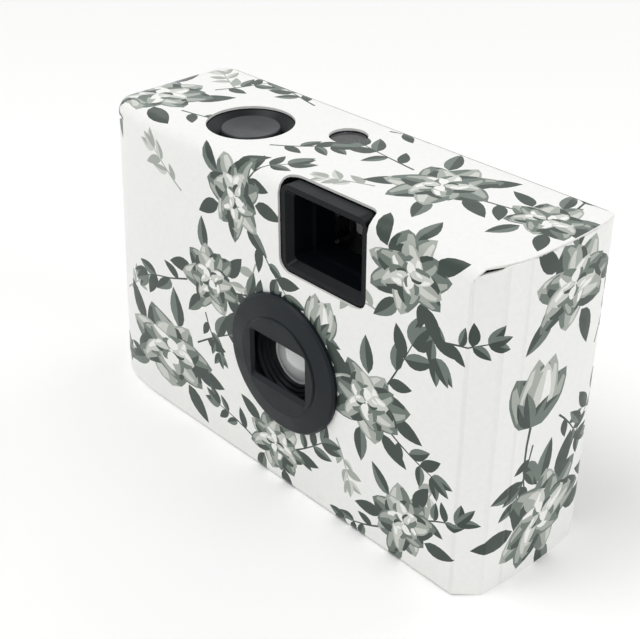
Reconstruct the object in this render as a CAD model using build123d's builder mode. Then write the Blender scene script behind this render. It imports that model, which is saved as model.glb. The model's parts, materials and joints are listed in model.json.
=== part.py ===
import os
from math import atan2, cos, degrees, hypot, pi, radians, sin, sqrt

from build123d import *

os.makedirs("parts", exist_ok=True)

# Millimetres. X runs to the viewer's right, Y from front to back, Z up; the camera stands on Z = 0.
# The body as the card wraps it
body_height = 62.0
body_depth = 30.0
card_thickness = 0.45
card_gap = 0.15
cover_wall = 1.2
running_gap = 0.05
seat_gap = 0.15
part_gap = 0.3
cut_overrun = 2.0
reach = 150.0

# Right end of the wrap: a chamfer between two scores, then a slightly bowed side
fold_right_x = 48.0
chamfer_x = 51.3
chamfer_depth = 3.9
side_right_x = 52.5
side_right_depth = 16.0
back_right_x = 51.9
back_corner_radius = 2.6

# Left end at the foot and at the top: it leans in as it rises, over a rounded shoulder
flat_left_foot_x = -31.0
flat_left_top_x = -27.0
ease_foot_x = -40.0
ease_top_x = -35.5
ease_depth = 0.7
turn_foot_x = -51.2
turn_top_x = -45.0
turn_foot_depth = 10.5
turn_top_depth = 9.5
back_left_foot_x = -50.8
back_left_top_x = -41.5
shoulder_radius = 8.5
shoulder_z = 53.5
shoulder_left_x = -46.7
top_front_fold = 2.6
top_back_fold = 2.4
foot_fold = 1.2

# The lens and its ring, in front of the card
lens_x = 7.9
lens_z = 27.0
ring_proud = 1.75
ring_radius = 13.35
ring_edge = 1.0
ring_edge_chamfer = 0.4
ring_cone_rise = 1.45
ring_disc_radius = 9.15
ring_step_radius = 9.7
ring_hub_radius = 9.2
ring_hub_depth = 3.2
ring_bore_radius = 8.3
mask_width = 13.6
mask_height = 8.9
mask_thickness = 0.9
mask_bevel = 0.7
mask_corner_radius = 0.5
hub_hole_radius = 9.35

# Depths behind the front of the card
lens_depth = 1.5
lens_flange_radius = 5.3
lens_clear_radius = 4.55
lens_bulge = 1.0
lens_rim_thickness = 1.1
lens_back_bulge = 0.35
retainer_front_depth = 0.15
retainer_radius = 8.1
retainer_steps = 4
retainer_mouth_radius = 7.3
mount_plate_depth = 4.2
mount_plate_thickness = 0.8
mount_plate_radius = 10.6
mount_cup_wall = 1.2
aperture_radius = 1.5
aperture_bevel = 0.6
blade_depth = 6.6
blade_thickness = 0.25
wall_depth = 7.6
wall_thickness = 1.2
film_depth = 26.0
film_thickness = 0.14
rail_height = 0.5
rail_width = 1.2

front_y = -(body_depth + ring_proud) / 2 + ring_proud
back_y = front_y + body_depth


def behind(depth):
    # A place that lies this far behind the front face of the card
    return front_y + depth


def lean(foot, top, height):
    # The wrap is straight from its foot to its top, so places on it are shared out by height
    return foot + (top - foot) * height / body_height


def body_plan(height, inset):
    # The outline of the wrap at one height, drawn in by the inset
    flat_left = (lean(flat_left_foot_x, flat_left_top_x, height), front_y)
    ease_end = (lean(ease_foot_x, ease_top_x, height), behind(ease_depth))
    turn_end = (lean(turn_foot_x, turn_top_x, height), behind(lean(turn_foot_depth, turn_top_depth, height)))
    back_left = (lean(back_left_foot_x, back_left_top_x, height), back_y)
    fold_right = (fold_right_x, front_y)
    chamfer_end = (chamfer_x, behind(chamfer_depth))
    back_right = (back_right_x, back_y)
    with BuildSketch(Plane.XY.offset(height)) as plan:
        with BuildLine():
            front = Line(fold_right, flat_left)
            ease = TangentArc(flat_left, ease_end, tangent=front % 1)
            turn = TangentArc(ease_end, turn_end, tangent=ease % 1)
            TangentArc(turn_end, back_left, tangent=turn % 1)
            Line(back_left, back_right)
            ThreePointArc(back_right, (side_right_x, behind(side_right_depth)), chamfer_end)
            Line(chamfer_end, fold_right)
        make_face()
        fillet(plan.vertices().group_by(Axis.Y)[-1], radius=back_corner_radius)
        if inset > 0:
            offset(amount=-inset, kind=Kind.INTERSECTION, mode=Mode.REPLACE)
    return plan.sketch


def body_block(inset):
    # The whole body as a solid, drawn in by the inset on every side
    with BuildPart() as block:
        loft([body_plan(inset, inset), body_plan(body_height - inset, inset)], ruled=True)
        top_z = body_height - inset
        shoulder_x = shoulder_left_x + shoulder_radius
        bend = shoulder_radius - inset
        with BuildSketch(Plane.XZ):
            with BuildLine():
                top = Line((reach, top_z), (shoulder_x, top_z))
                shoulder = RadiusArc(top @ 1, (shoulder_x - bend, shoulder_z), -bend)
                Polyline(shoulder @ 1, (-reach, shoulder_z), (-reach, inset), (reach, inset), top @ 0)
            make_face()
        extrude(amount=reach, both=True, mode=Mode.INTERSECT)
        with BuildSketch(Plane.YZ):
            with Locations(((front_y + back_y) / 2, body_height / 2)):
                Rectangle(body_depth - 2 * inset, body_height - 2 * inset)
            top_corners = vertices().group_by(Axis.Y)[-1].sort_by(Axis.X)
            foot_corners = vertices().group_by(Axis.Y)[0]
            fillet(top_corners[0], radius=top_front_fold - inset)
            if top_back_fold > inset:
                fillet(top_corners[-1], radius=top_back_fold - inset)
            if foot_fold > inset:
                fillet(foot_corners, radius=foot_fold - inset)
        extrude(amount=reach, both=True, mode=Mode.INTERSECT)
    return block.part


def facing(depth):
    # A plane across the camera at this depth, seen from the front
    return Plane(origin=(0, behind(depth), 0), x_dir=(1, 0, 0), z_dir=(0, -1, 0))


def box_between(left, right, near, far, low, high, mode=Mode.ADD):
    # A plain box between two places on X, two depths and two heights
    with Locations(((left + right) / 2, behind((near + far) / 2), (low + high) / 2)):
        Box(right - left, far - near, high - low, mode=mode)


def upright(x, depth, low, high, radius, mode=Mode.ADD):
    # An upright round post or hole
    with Locations((x, behind(depth), (low + high) / 2)):
        Cylinder(radius, high - low, mode=mode)


def toothed_outline(count, root, tip, lean_share, land_share):
    # Saw or square teeth: each tooth rises at its own share of the pitch and stays up for the land
    points = []
    pitch = 2 * pi / count
    for tooth in range(count):
        start = tooth * pitch
        marks = ((0, root), (lean_share, tip), (lean_share + land_share, tip),
                 (2 * lean_share + land_share, root))
        for share, radius in marks:
            points.append((radius * cos(start + share * pitch), radius * sin(start + share * pitch)))
    return points


def bow_fall(edge, sag):
    # How far a round bow has fallen halfway to its edge
    radius = (edge ** 2 + sag ** 2) / (2 * sag)
    return radius - sqrt(radius ** 2 - edge ** 2 / 4)


def funnel(x, corner, sections, mode=Mode.ADD):
    # Straight-sided stretches between upright rounded rectangles, each with its depth, size and middle height
    for near, far in zip(sections[:-1], sections[1:]):
        if far[0] > near[0]:
            outlines = []
            for depth, width, height, z in (near, far):
                with BuildSketch(facing(depth), mode=Mode.PRIVATE) as outline:
                    with Locations((x, z)):
                        RectangleRounded(width, height, corner)
                outlines.append(outline.sketch)
            loft(outlines, ruled=True, mode=mode)


def coil(base, radius, length, turns, wire):
    # A coil of round wire on the plane's axis, on two smooth arcs for each quarter turn of its helix
    climb = (length - wire) / (2 * pi * turns)
    slant = hypot(radius, climb)
    with BuildPart(mode=Mode.PRIVATE) as winding:
        with BuildLine() as path:
            for quarter in range(4 * turns):
                ends = []
                for turn in (quarter * pi / 2, (quarter + 1) * pi / 2):
                    place = Vector(radius * cos(turn), radius * sin(turn), wire / 2 + climb * turn)
                    heading = Vector(-radius * sin(turn), radius * cos(turn), climb) / slant
                    ends.append((place, heading))
                (start, out), (finish, home) = ends
                span = finish - start
                both = out + home
                spread = 2 * (1 - out.dot(home))
                along = span.dot(both)
                leg = (sqrt(along ** 2 + spread * span.dot(span)) - along) / spread
                middle = (start + out * leg + finish - home * leg) / 2
                first = TangentArc(base.from_local_coords(start), base.from_local_coords(middle),
                                   tangent=base.from_local_coords(start + out)
                                   - base.from_local_coords(start))
                TangentArc(base.from_local_coords(middle), base.from_local_coords(finish), tangent=first % 1)
        with BuildSketch(Plane(origin=path.line @ 0, z_dir=path.line % 0)):
            Circle(wire / 2)
        sweep(path=path.line)
    return winding.part


# Openings in the card
finder_left_x = 7.05
finder_right_x = 27.3
finder_bottom_z = 45.5
finder_wrap = 3.4
finder_corner = 2.3
button_x = -13.95
button_depth = 12.4
button_hole_radius = 7.95
window_x = 2.4
window_depth = 20.6
window_hole_radius = 3.45
lens_hole_radius = 9.6
eye_x = 17.2
eye_z = 53.2
eye_width = 13.0
eye_height = 9.5
eye_corner = 1.5
wheel_x = -30.9
axis_depth = 15.4
thumb_left_x = -40.7
thumb_right_x = -21.1
thumb_low_z = 50.0
thumb_high_z = 55.8
thumb_corner = 2.0
slit_width = 0.4
slit_drop = 1.0
notch_depth = 25.5
notch_low_z = 50.6
notch_high_z = 56.5
notch_right_x = -37.5

finder_width = finder_right_x - finder_left_x
finder_x = (finder_left_x + finder_right_x) / 2


def cut_finder_opening(corner):
    # The opening for the finder in the front and over the fold in the top
    tall = body_height + cut_overrun - finder_bottom_z
    with BuildPart(mode=Mode.PRIVATE) as opening:
        with BuildSketch(facing(-cut_overrun)):
            with Locations((finder_x, finder_bottom_z + tall / 2)):
                RectangleRounded(finder_width, tall, finder_corner)
        extrude(amount=-(cut_overrun + top_front_fold - slit_width))
        with BuildSketch(Plane.XY.offset(body_height - top_front_fold)):
            with Locations((finder_x, behind((finder_wrap - cut_overrun) / 2))):
                RectangleRounded(finder_width, finder_wrap + cut_overrun, corner)
        extrude(amount=top_front_fold + cut_overrun)
    return opening.part


def cut_back_opening(x, z, width, height, corner, near):
    # A rounded opening through the back
    with BuildPart(mode=Mode.PRIVATE) as opening:
        with BuildSketch(facing(body_depth + cut_overrun)):
            with Locations((x, z)):
                RectangleRounded(width, height, corner)
        extrude(amount=body_depth + cut_overrun - near)
    return opening.part


# Card sleeve, one folded piece of card with its openings and the slits at its corners
chamfer_turn = degrees(atan2(chamfer_depth, chamfer_x - fold_right_x))
chamfer_length = hypot(chamfer_depth, chamfer_x - fold_right_x)
with BuildPart() as card_sleeve:
    add(body_block(0))
    add(body_block(card_thickness), mode=Mode.SUBTRACT)
    add(cut_finder_opening(finder_corner), mode=Mode.SUBTRACT)
    with BuildSketch(facing(-cut_overrun)):
        with Locations((lens_x, lens_z)):
            Circle(lens_hole_radius)
    extrude(amount=-(cut_overrun + top_front_fold), mode=Mode.SUBTRACT)
    upright(button_x, button_depth, body_height - cut_overrun, body_height + cut_overrun,
            button_hole_radius, Mode.SUBTRACT)
    upright(window_x, window_depth, body_height - cut_overrun, body_height + cut_overrun,
            window_hole_radius, Mode.SUBTRACT)
    add(cut_back_opening(eye_x, eye_z, eye_width, eye_height, eye_corner, body_depth - cut_overrun),
        mode=Mode.SUBTRACT)
    thumb_x = (thumb_left_x + thumb_right_x) / 2
    thumb_z = (thumb_low_z + thumb_high_z) / 2
    add(cut_back_opening(thumb_x, thumb_z, thumb_right_x - thumb_left_x, thumb_high_z - thumb_low_z,
                         thumb_corner, body_depth - cut_overrun), mode=Mode.SUBTRACT)
    slit_place = ((fold_right_x + chamfer_x) / 2, behind(chamfer_depth / 2), body_height - slit_drop)
    with Locations(Location(slit_place, (0, 0, chamfer_turn))):
        Box(chamfer_length, cut_overrun, slit_width, mode=Mode.SUBTRACT)
    with BuildSketch(Plane.YZ.offset(ease_top_x)):
        with BuildLine():
            Polyline((behind(-cut_overrun), body_height), (behind(ease_depth), body_height - slit_drop),
                     (behind(turn_top_depth / 2), shoulder_z + cut_overrun),
                     (behind(side_right_depth), shoulder_z + slit_width),
                     (behind(notch_depth + slit_width), notch_low_z + slit_drop))
        trace(line_width=slit_width)
    extrude(amount=-reach, mode=Mode.SUBTRACT)
    box_between(-reach, notch_right_x, notch_depth, body_depth + cut_overrun, notch_low_z, notch_high_z,
                Mode.SUBTRACT)
card_sleeve.part.label = "card_sleeve"
export_step(card_sleeve.part, "parts/card_sleeve.step")


# Covers: the front one carries the top, the rear one closes the film chamber
cover_inset = card_thickness + card_gap
inner_inset = cover_inset + cover_wall
parting_depth = 13.0
parting_step_z = 55.4
top_parting_depth = 25.6
well_radius = 5.65
well_wall = 0.8
well_floor_z = 56.5
well_floor_thickness = 1.1
dish_radius = 7.75
dish_depth = 1.7
stem_radius = 1.6
window_radius = 3.2
window_flange = 0.8
door_radius = 13.2
door_clearance = 0.1
roll_x = 39.4
roll_depth = 15.8

outer_cover = body_block(cover_inset)
inner_cover = body_block(inner_inset)
cover_top_z = body_height - cover_inset
inner_top_z = body_height - inner_inset
inner_low_z = inner_inset


def front_share(slack):
    # All that lies in front of the parting line, which steps back under the top
    with BuildPart(mode=Mode.PRIVATE) as share:
        with BuildSketch(Plane.YZ):
            with BuildLine():
                Polyline((behind(-cut_overrun), -cut_overrun), (behind(parting_depth) - slack, -cut_overrun),
                         (behind(parting_depth) - slack, parting_step_z + slack),
                         (behind(top_parting_depth) - slack, parting_step_z + slack),
                         (behind(top_parting_depth) - slack, body_height),
                         (behind(-cut_overrun), body_height),
                         (behind(-cut_overrun), -cut_overrun))
            make_face()
        extrude(amount=reach, both=True)
    return share.part


with BuildPart() as front_cover:
    add(outer_cover)
    add(inner_cover, mode=Mode.SUBTRACT)
    add(front_share(running_gap / 2), mode=Mode.INTERSECT)
    add(cut_finder_opening(part_gap), mode=Mode.SUBTRACT)
    with BuildSketch(facing(-cut_overrun)):
        with Locations((lens_x, lens_z)):
            Circle(hub_hole_radius)
    extrude(amount=-(cut_overrun + inner_inset + cut_overrun), mode=Mode.SUBTRACT)
    upright(button_x, button_depth, well_floor_z - well_floor_thickness, cover_top_z, well_radius + well_wall)
    upright(button_x, button_depth, cover_top_z - dish_depth - well_wall, cover_top_z,
            dish_radius + well_wall)
    upright(button_x, button_depth, well_floor_z, body_height, well_radius, Mode.SUBTRACT)
    with Locations((button_x, behind(button_depth), cover_top_z - dish_depth / 2)):
        Cone(well_radius, dish_radius, dish_depth, mode=Mode.SUBTRACT)
    upright(button_x, button_depth, well_floor_z - 2 * well_floor_thickness, well_floor_z,
            stem_radius + running_gap, Mode.SUBTRACT)
    upright(window_x, window_depth, inner_top_z - cut_overrun, body_height, window_radius + running_gap,
            Mode.SUBTRACT)
    upright(wheel_x, axis_depth, -cut_overrun, inner_low_z + running_gap, door_radius, Mode.SUBTRACT)
front_cover.part.label = "front_cover"
export_step(front_cover.part, "parts/front_cover.step")


# Thumbwheel, over the cartridge
wheel_radius = 12.6
wheel_low_z = 50.3
wheel_high_z = 53.5
wheel_grooves = 40
groove_depth = 0.6
wheel_chamfer = 0.4
wheel_rim = 2.2
wheel_web = 1.2
ratchet_radius = 9.8
ratchet_root = 9.0
ratchet_teeth = 30
ratchet_height = 0.9
wheel_hub_radius = 5.2
fork_radius = 2.6
fork_slot = 1.1
chamber_roof_z = 49.0
roof_thickness = 1.0
film_height = 35.0
shell_radius = 12.5
shell_low_z = 5.2
shell_high_z = 48.7

# Rear cover: film ribs, eyepiece and the recess that shows the wheel
recess_depth = 26.5
rib_count = 6
rib_thickness = 0.9
rib_bow = 0.5
gate_width = 36.0
gate_height = 24.0

with BuildPart() as rear_cover:
    add(outer_cover)
    add(inner_cover, mode=Mode.SUBTRACT)
    add(front_share(-running_gap / 2), mode=Mode.SUBTRACT)
    box_between(thumb_left_x - cover_wall, thumb_right_x + cover_wall, recess_depth - cover_wall,
                body_depth - cover_inset - cover_wall / 2, wheel_low_z - cover_wall,
                thumb_high_z + cover_wall)
    rib_reach = body_depth - inner_inset + cover_wall / 2
    rib_face = film_depth + film_thickness + running_gap + rib_bow
    for rib in range(rib_count):
        rib_z = lens_z - gate_height / 2 + gate_height * rib / (rib_count - 1)
        with BuildSketch(Plane.XY.offset(rib_z - rib_thickness / 2)):
            with BuildLine():
                rib_left = (lens_x - gate_width / 2, behind(rib_face))
                rib_right = (lens_x + gate_width / 2, behind(rib_face))
                bow = ThreePointArc(rib_left, (lens_x, behind(rib_face - rib_bow)), rib_right)
                Polyline(bow @ 1, (rib_right[0], behind(rib_reach)), (rib_left[0], behind(rib_reach)),
                         bow @ 0)
            make_face()
        extrude(amount=rib_thickness)
    add(cut_back_opening(thumb_x, thumb_z, thumb_right_x - thumb_left_x, thumb_high_z - thumb_low_z,
                         thumb_corner, recess_depth), mode=Mode.SUBTRACT)
    upright(wheel_x, axis_depth, wheel_low_z - part_gap, wheel_high_z + part_gap,
            wheel_radius + part_gap, Mode.SUBTRACT)
    add(cut_back_opening(eye_x, eye_z, eye_width - 2 * eye_corner, eye_height - 2 * eye_corner,
                         eye_corner / 2, body_depth - inner_inset - cut_overrun), mode=Mode.SUBTRACT)
    upright(wheel_x, axis_depth, -cut_overrun, inner_low_z + running_gap, door_radius, Mode.SUBTRACT)
rear_cover.part.label = "rear_cover"
export_step(rear_cover.part, "parts/rear_cover.step")


# Cartridge door, a round lid with a socket for the cartridge's hub
hub_radius = 5.6
hub_low_z = 2.4
socket_wall = 1.0
door_rim = 1.6
coin_slot_half_width = 2.2
coin_slot_near = 9.0
coin_slot_far = 9.8
with BuildPart() as cartridge_door:
    upright(wheel_x, axis_depth, cover_inset, inner_low_z, door_radius - door_clearance)
    upright(wheel_x, axis_depth, inner_low_z, inner_low_z + door_rim, hub_radius + running_gap + socket_wall)
    upright(wheel_x, axis_depth, hub_low_z - part_gap, inner_low_z + door_rim + cut_overrun,
            hub_radius + running_gap, Mode.SUBTRACT)
    box_between(wheel_x - coin_slot_half_width, wheel_x + coin_slot_half_width,
                axis_depth + coin_slot_near, axis_depth + coin_slot_far, -cut_overrun,
                cover_inset + cover_wall / 2, Mode.SUBTRACT)
cartridge_door.part.label = "cartridge_door"
export_step(cartridge_door.part, "parts/cartridge_door.step")


# Film cartridge: a rolled shell with its lip, two crimped caps and the spool
shell_wall = 0.3
lip_length = 1.0
lip_gap = 1.0
cap_skirt = 2.2
cap_hole_radius = 5.9
with BuildPart() as cartridge_shell:
    upright(wheel_x, axis_depth, shell_low_z + shell_wall, shell_high_z - shell_wall,
            shell_radius - shell_wall)
    lip_far = film_depth + film_thickness / 2 + lip_gap / 2 + shell_wall
    box_between(wheel_x, wheel_x + shell_radius + lip_length, lip_far - lip_gap - 2 * shell_wall, lip_far,
                shell_low_z + cap_skirt + running_gap, shell_high_z - cap_skirt - running_gap)
    upright(wheel_x, axis_depth, shell_low_z - cut_overrun, shell_high_z + cut_overrun,
            shell_radius - 2 * shell_wall, Mode.SUBTRACT)
    box_between(wheel_x + lip_gap, wheel_x + shell_radius + lip_length + cut_overrun,
                lip_far - lip_gap - shell_wall, lip_far - shell_wall,
                shell_low_z + cap_skirt + 2 * shell_wall,
                shell_high_z - cap_skirt - 2 * shell_wall, Mode.SUBTRACT)
cartridge_shell.part.label = "cartridge_shell"
export_step(cartridge_shell.part, "parts/cartridge_shell.step")

caps = (
    ("cartridge_bottom_cap", shell_low_z, shell_low_z + shell_wall),
    ("cartridge_top_cap", shell_high_z - cap_skirt, shell_high_z - cap_skirt - shell_wall),
)
for cap_name, low, hollow_low in caps:
    with BuildPart() as cap:
        upright(wheel_x, axis_depth, low, low + cap_skirt, shell_radius)
        upright(wheel_x, axis_depth, hollow_low, hollow_low + cap_skirt, shell_radius - shell_wall,
                Mode.SUBTRACT)
        upright(wheel_x, axis_depth, low - cut_overrun, low + cap_skirt + cut_overrun, cap_hole_radius,
                Mode.SUBTRACT)
    cap.part.label = cap_name
    export_step(cap.part, f"parts/{cap_name}.step")

spool_hollow_low_z = 43.5
spool_bar_high_z = 47.6
fork_low_z = 46.1
with BuildPart() as cartridge_spool:
    upright(wheel_x, axis_depth, hub_low_z, shell_high_z, hub_radius - running_gap)
    flange_reach = shell_radius - 3 * shell_wall
    for flange_low_z in (shell_low_z + 2 * shell_wall, shell_high_z - 3 * shell_wall):
        upright(wheel_x, axis_depth, flange_low_z, flange_low_z + shell_wall, flange_reach)
    upright(wheel_x, axis_depth, spool_hollow_low_z, shell_high_z + cut_overrun, fork_radius + fork_slot,
            Mode.SUBTRACT)
    box_between(wheel_x - fork_radius - fork_slot, wheel_x + fork_radius + fork_slot,
                axis_depth - fork_slot / 2, axis_depth + fork_slot / 2, spool_hollow_low_z, spool_bar_high_z)
cartridge_spool.part.label = "cartridge_spool"
export_step(cartridge_spool.part, "parts/cartridge_spool.step")

groove_lean_share = 0.15
groove_land_share = 0.5
ratchet_lean_share = 0.1
ratchet_land_share = 0.1
with BuildPart() as thumbwheel:
    with BuildSketch(Plane((wheel_x, behind(axis_depth), wheel_low_z + wheel_chamfer))):
        with BuildLine():
            grip_root = wheel_radius - groove_depth
            Polyline(*toothed_outline(wheel_grooves, grip_root, wheel_radius, groove_lean_share,
                                       groove_land_share), close=True)
        make_face()
    extrude(amount=wheel_high_z - wheel_low_z - 2 * wheel_chamfer)
    with Locations((wheel_x, behind(axis_depth), wheel_low_z + wheel_chamfer / 2)):
        Cone(grip_root - wheel_chamfer, grip_root, wheel_chamfer)
    with Locations((wheel_x, behind(axis_depth), wheel_high_z - wheel_chamfer / 2)):
        Cone(grip_root, grip_root - wheel_chamfer, wheel_chamfer)
    upright(wheel_x, axis_depth, wheel_low_z - cut_overrun, wheel_high_z - wheel_web,
            wheel_radius - wheel_rim, Mode.SUBTRACT)
    upright(wheel_x, axis_depth, wheel_low_z, wheel_high_z, wheel_hub_radius)
    with BuildSketch(Plane((wheel_x, behind(axis_depth), wheel_high_z))):
        with BuildLine():
            Polyline(*toothed_outline(ratchet_teeth, ratchet_root, ratchet_radius, ratchet_lean_share,
                                       ratchet_land_share), close=True)
        make_face()
        Circle(ratchet_root - wheel_web, mode=Mode.SUBTRACT)
    extrude(amount=ratchet_height)
    upright(wheel_x, axis_depth, wheel_high_z, wheel_high_z + ratchet_height, wheel_hub_radius - wheel_web)
    upright(wheel_x, axis_depth, fork_low_z, wheel_low_z, fork_radius)
    box_between(wheel_x - fork_radius, wheel_x + fork_radius, axis_depth - fork_slot, axis_depth + fork_slot,
                spool_hollow_low_z, spool_bar_high_z + fork_slot / 2, Mode.SUBTRACT)
thumbwheel.part.label = "thumbwheel"
export_step(thumbwheel.part, "parts/thumbwheel.step")


# Main chassis: gate, exposure tunnel, the two chambers, the deck with its bearings and posts
plate_back_depth = film_depth - running_gap - rail_height
plate_thickness = 1.3
plate_left_x = -17.0
plate_right_x = 29.6
plate_low_z = 7.6
plate_high_z = 45.8
tunnel_wall = 1.0
tunnel_mouth_width = 10.0
tunnel_mouth_height = 8.0
chamber_radius = shell_radius + part_gap
chamber_wall = 0.7
roll_chamber_radius = 9.4
roll_chamber_wall = 1.0
chamber_foot_z = inner_low_z + seat_gap
deck_low_z = 45.6
deck_thickness = 1.2
deck_left_x = -18.0
chamber_web = 1.0
deck_right_x = 6.4
deck_front_depth = 7.9
deck_back_depth = 25.0
wall_left_x = -7.0
wall_right_x = 22.0
wall_low_z = 11.0
wall_high_z = 42.0
shutter_hole_radius = 2.6
sprocket_x = -11.4
shaft_radius = 1.4
blade_pivot_x = 12.6
blade_pivot_z = 33.0
blade_pin_radius = 0.7
striker_x = -3.0
striker_depth = 14.0
post_radius = 1.1
post_high_z = 51.6
lever_x = -9.0
lever_z = 51.0
lever_depth = 11.0
lever_half_length = 1.9
ear_thickness = 1.0
ear_width = 3.4
journal_radius = 0.8
mount_post_radius = 1.3
mount_post_spread = 9.0
sprocket_low_z = 40.2
sprocket_high_z = 44.4
sprocket_radius = 6.0
sprocket_tooth = 1.1
sprocket_teeth = 8
perforation_z = 41.1
column_radius = 1.2
columns = ((4.8, 9.6), (-17.0, 9.2), (-17.0, 23.6))
top_plate_low_z = 54.6
top_plate_thickness = 0.7
roll_floor_thickness = 1.2
roll_roof_thickness = 0.8
spool_journal_radius = 2.0
spring_post_x = 19.4
spring_post_z = 29.5
deck_high_z = deck_low_z + deck_thickness
sprocket_depth = film_depth - running_gap - sprocket_radius

with BuildPart() as main_chassis:
    with BuildSketch(facing(plate_back_depth - plate_thickness)):
        with Locations(((plate_left_x + plate_right_x) / 2, (plate_low_z + plate_high_z) / 2)):
            Rectangle(plate_right_x - plate_left_x, plate_high_z - plate_low_z)
    extrude(amount=-plate_thickness)
    for side in (-1, 1):
        rail_z = lens_z + side * (gate_height / 2 + 2 * rail_width)
        box_between(plate_left_x, plate_right_x, plate_back_depth, plate_back_depth + rail_height,
                    rail_z - rail_width / 2, rail_z + rail_width / 2)
    with BuildSketch(facing(wall_depth)):
        with Locations(((wall_left_x + wall_right_x) / 2, (wall_low_z + wall_high_z) / 2)):
            RectangleRounded(wall_right_x - wall_left_x, wall_high_z - wall_low_z, ear_width)
    extrude(amount=-wall_thickness)
    with BuildSketch(facing(wall_depth + wall_thickness / 2)):
        with Locations((lens_x, lens_z)):
            Rectangle(tunnel_mouth_width + 2 * tunnel_wall, tunnel_mouth_height + 2 * tunnel_wall)
    with BuildSketch(facing(plate_back_depth - plate_thickness / 2)):
        with Locations((lens_x, lens_z)):
            Rectangle(gate_width + 2 * tunnel_wall, gate_height + 2 * tunnel_wall)
    loft(ruled=True)
    with BuildSketch(facing(wall_depth + wall_thickness)):
        with Locations((lens_x, lens_z)):
            Rectangle(tunnel_mouth_width, tunnel_mouth_height)
    with BuildSketch(facing(plate_back_depth + running_gap)):
        with Locations((lens_x, lens_z)):
            Rectangle(gate_width, gate_height)
    loft(ruled=True, mode=Mode.SUBTRACT)
    with BuildSketch(facing(plate_back_depth)):
        with Locations((lens_x, lens_z)):
            Rectangle(gate_width, gate_height)
    extrude(amount=-(rail_height + cut_overrun), mode=Mode.SUBTRACT)
    # Chamber for the cartridge, open to the back
    with BuildSketch(Plane.XY.offset(chamber_foot_z)):
        with Locations((wheel_x, behind(axis_depth))):
            Circle(chamber_radius + chamber_wall)
            Circle(chamber_radius, mode=Mode.SUBTRACT)
        with Locations((wheel_x, behind(axis_depth + reach / 2))):
            Rectangle(reach, reach, mode=Mode.SUBTRACT)
    extrude(amount=chamber_roof_z + roof_thickness - chamber_foot_z)
    with BuildSketch(Plane.XY.offset(chamber_roof_z)):
        with Locations((wheel_x, behind(axis_depth))):
            Circle(chamber_radius + chamber_wall)
            Circle(wheel_hub_radius + part_gap, mode=Mode.SUBTRACT)
        with Locations((wheel_x, behind(axis_depth + deck_front_depth + reach / 2))):
            Rectangle(reach, reach, mode=Mode.SUBTRACT)
    extrude(amount=roof_thickness)
    # Chamber for the roll, open to the back
    with BuildSketch(Plane.XY.offset(chamber_foot_z)):
        with Locations((roll_x, behind(roll_depth))):
            Circle(roll_chamber_radius + roll_chamber_wall)
            Circle(roll_chamber_radius, mode=Mode.SUBTRACT)
        with Locations((roll_x, behind(roll_depth + reach / 2))):
            Rectangle(reach, reach, mode=Mode.SUBTRACT)
    extrude(amount=plate_high_z - chamber_foot_z)
    box_between(roll_x - roll_chamber_radius - roll_chamber_wall, roll_x - roll_chamber_radius, roll_depth,
                plate_back_depth - rail_height, chamber_foot_z, plate_high_z)
    for floor_z, floor_thickness in ((plate_low_z, roll_floor_thickness),
                                     (plate_high_z - roll_roof_thickness, roll_roof_thickness)):
        upright(roll_x, roll_depth, floor_z, floor_z + floor_thickness,
                roll_chamber_radius + roll_chamber_wall / 2)
        upright(roll_x, roll_depth, floor_z - cut_overrun, floor_z + floor_thickness + cut_overrun,
                spool_journal_radius + running_gap, Mode.SUBTRACT)
    # Lower deck and top deck, with the bearing of the sprocket's shaft and the columns of the top plate
    box_between(deck_left_x, roll_x - roll_chamber_radius, axis_depth - chamber_web,
                plate_back_depth - rail_height, plate_low_z, plate_low_z + roll_floor_thickness)
    box_between(deck_left_x, deck_left_x + chamber_web, axis_depth - chamber_web,
                plate_back_depth - rail_height, plate_low_z, sprocket_low_z - seat_gap)
    box_between(deck_left_x, deck_right_x, deck_front_depth, deck_back_depth, deck_low_z, deck_high_z)
    for x, depth in columns:
        upright(x, depth, deck_high_z, top_plate_low_z, column_radius)
    upright(striker_x, striker_depth, deck_high_z, post_high_z, post_radius)
    for side in (-1, 1):
        ear_near = (lever_depth - ear_thickness / 2
                    + side * (lever_half_length + running_gap + ear_thickness / 2))
        with BuildSketch(facing(ear_near)):
            with Locations((lever_x, lever_z)):
                Circle(ear_width / 2)
            with Locations((lever_x, (deck_low_z + lever_z) / 2)):
                Rectangle(ear_width, lever_z - deck_low_z)
            with Locations((lever_x, lever_z)):
                Circle(journal_radius + running_gap, mode=Mode.SUBTRACT)
        extrude(amount=-ear_thickness)
    upright(sprocket_x, sprocket_depth, deck_low_z - cut_overrun, deck_high_z + cut_overrun,
            shaft_radius + running_gap, Mode.SUBTRACT)
    sprocket_reach = sprocket_radius + sprocket_tooth + part_gap
    upright(sprocket_x, sprocket_depth, sprocket_low_z - seat_gap, deck_low_z, sprocket_reach, Mode.SUBTRACT)
    box_between(deck_left_x - cut_overrun, sprocket_x + sprocket_reach,
                plate_back_depth - plate_thickness - cut_overrun, body_depth,
                sprocket_low_z - seat_gap, deck_low_z, Mode.SUBTRACT)
    # Pins on the front wall for the blade and its spring, and the light's way in
    for pin_x, pin_z in ((blade_pivot_x, blade_pivot_z), (spring_post_x, spring_post_z)):
        with BuildSketch(facing(wall_depth - wall_thickness - running_gap)):
            with Locations((pin_x, pin_z)):
                Circle(blade_pin_radius)
        extrude(amount=-(wall_thickness + 2 * running_gap))
    with BuildSketch(facing(wall_depth - cut_overrun)):
        with Locations((lens_x, lens_z)):
            Circle(shutter_hole_radius)
    extrude(amount=-(wall_thickness + 2 * cut_overrun), mode=Mode.SUBTRACT)
    # What would touch the covers is trimmed away
    add(body_block(inner_inset + seat_gap), mode=Mode.INTERSECT)
main_chassis.part.label = "main_chassis"
export_step(main_chassis.part, "parts/main_chassis.step")


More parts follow.
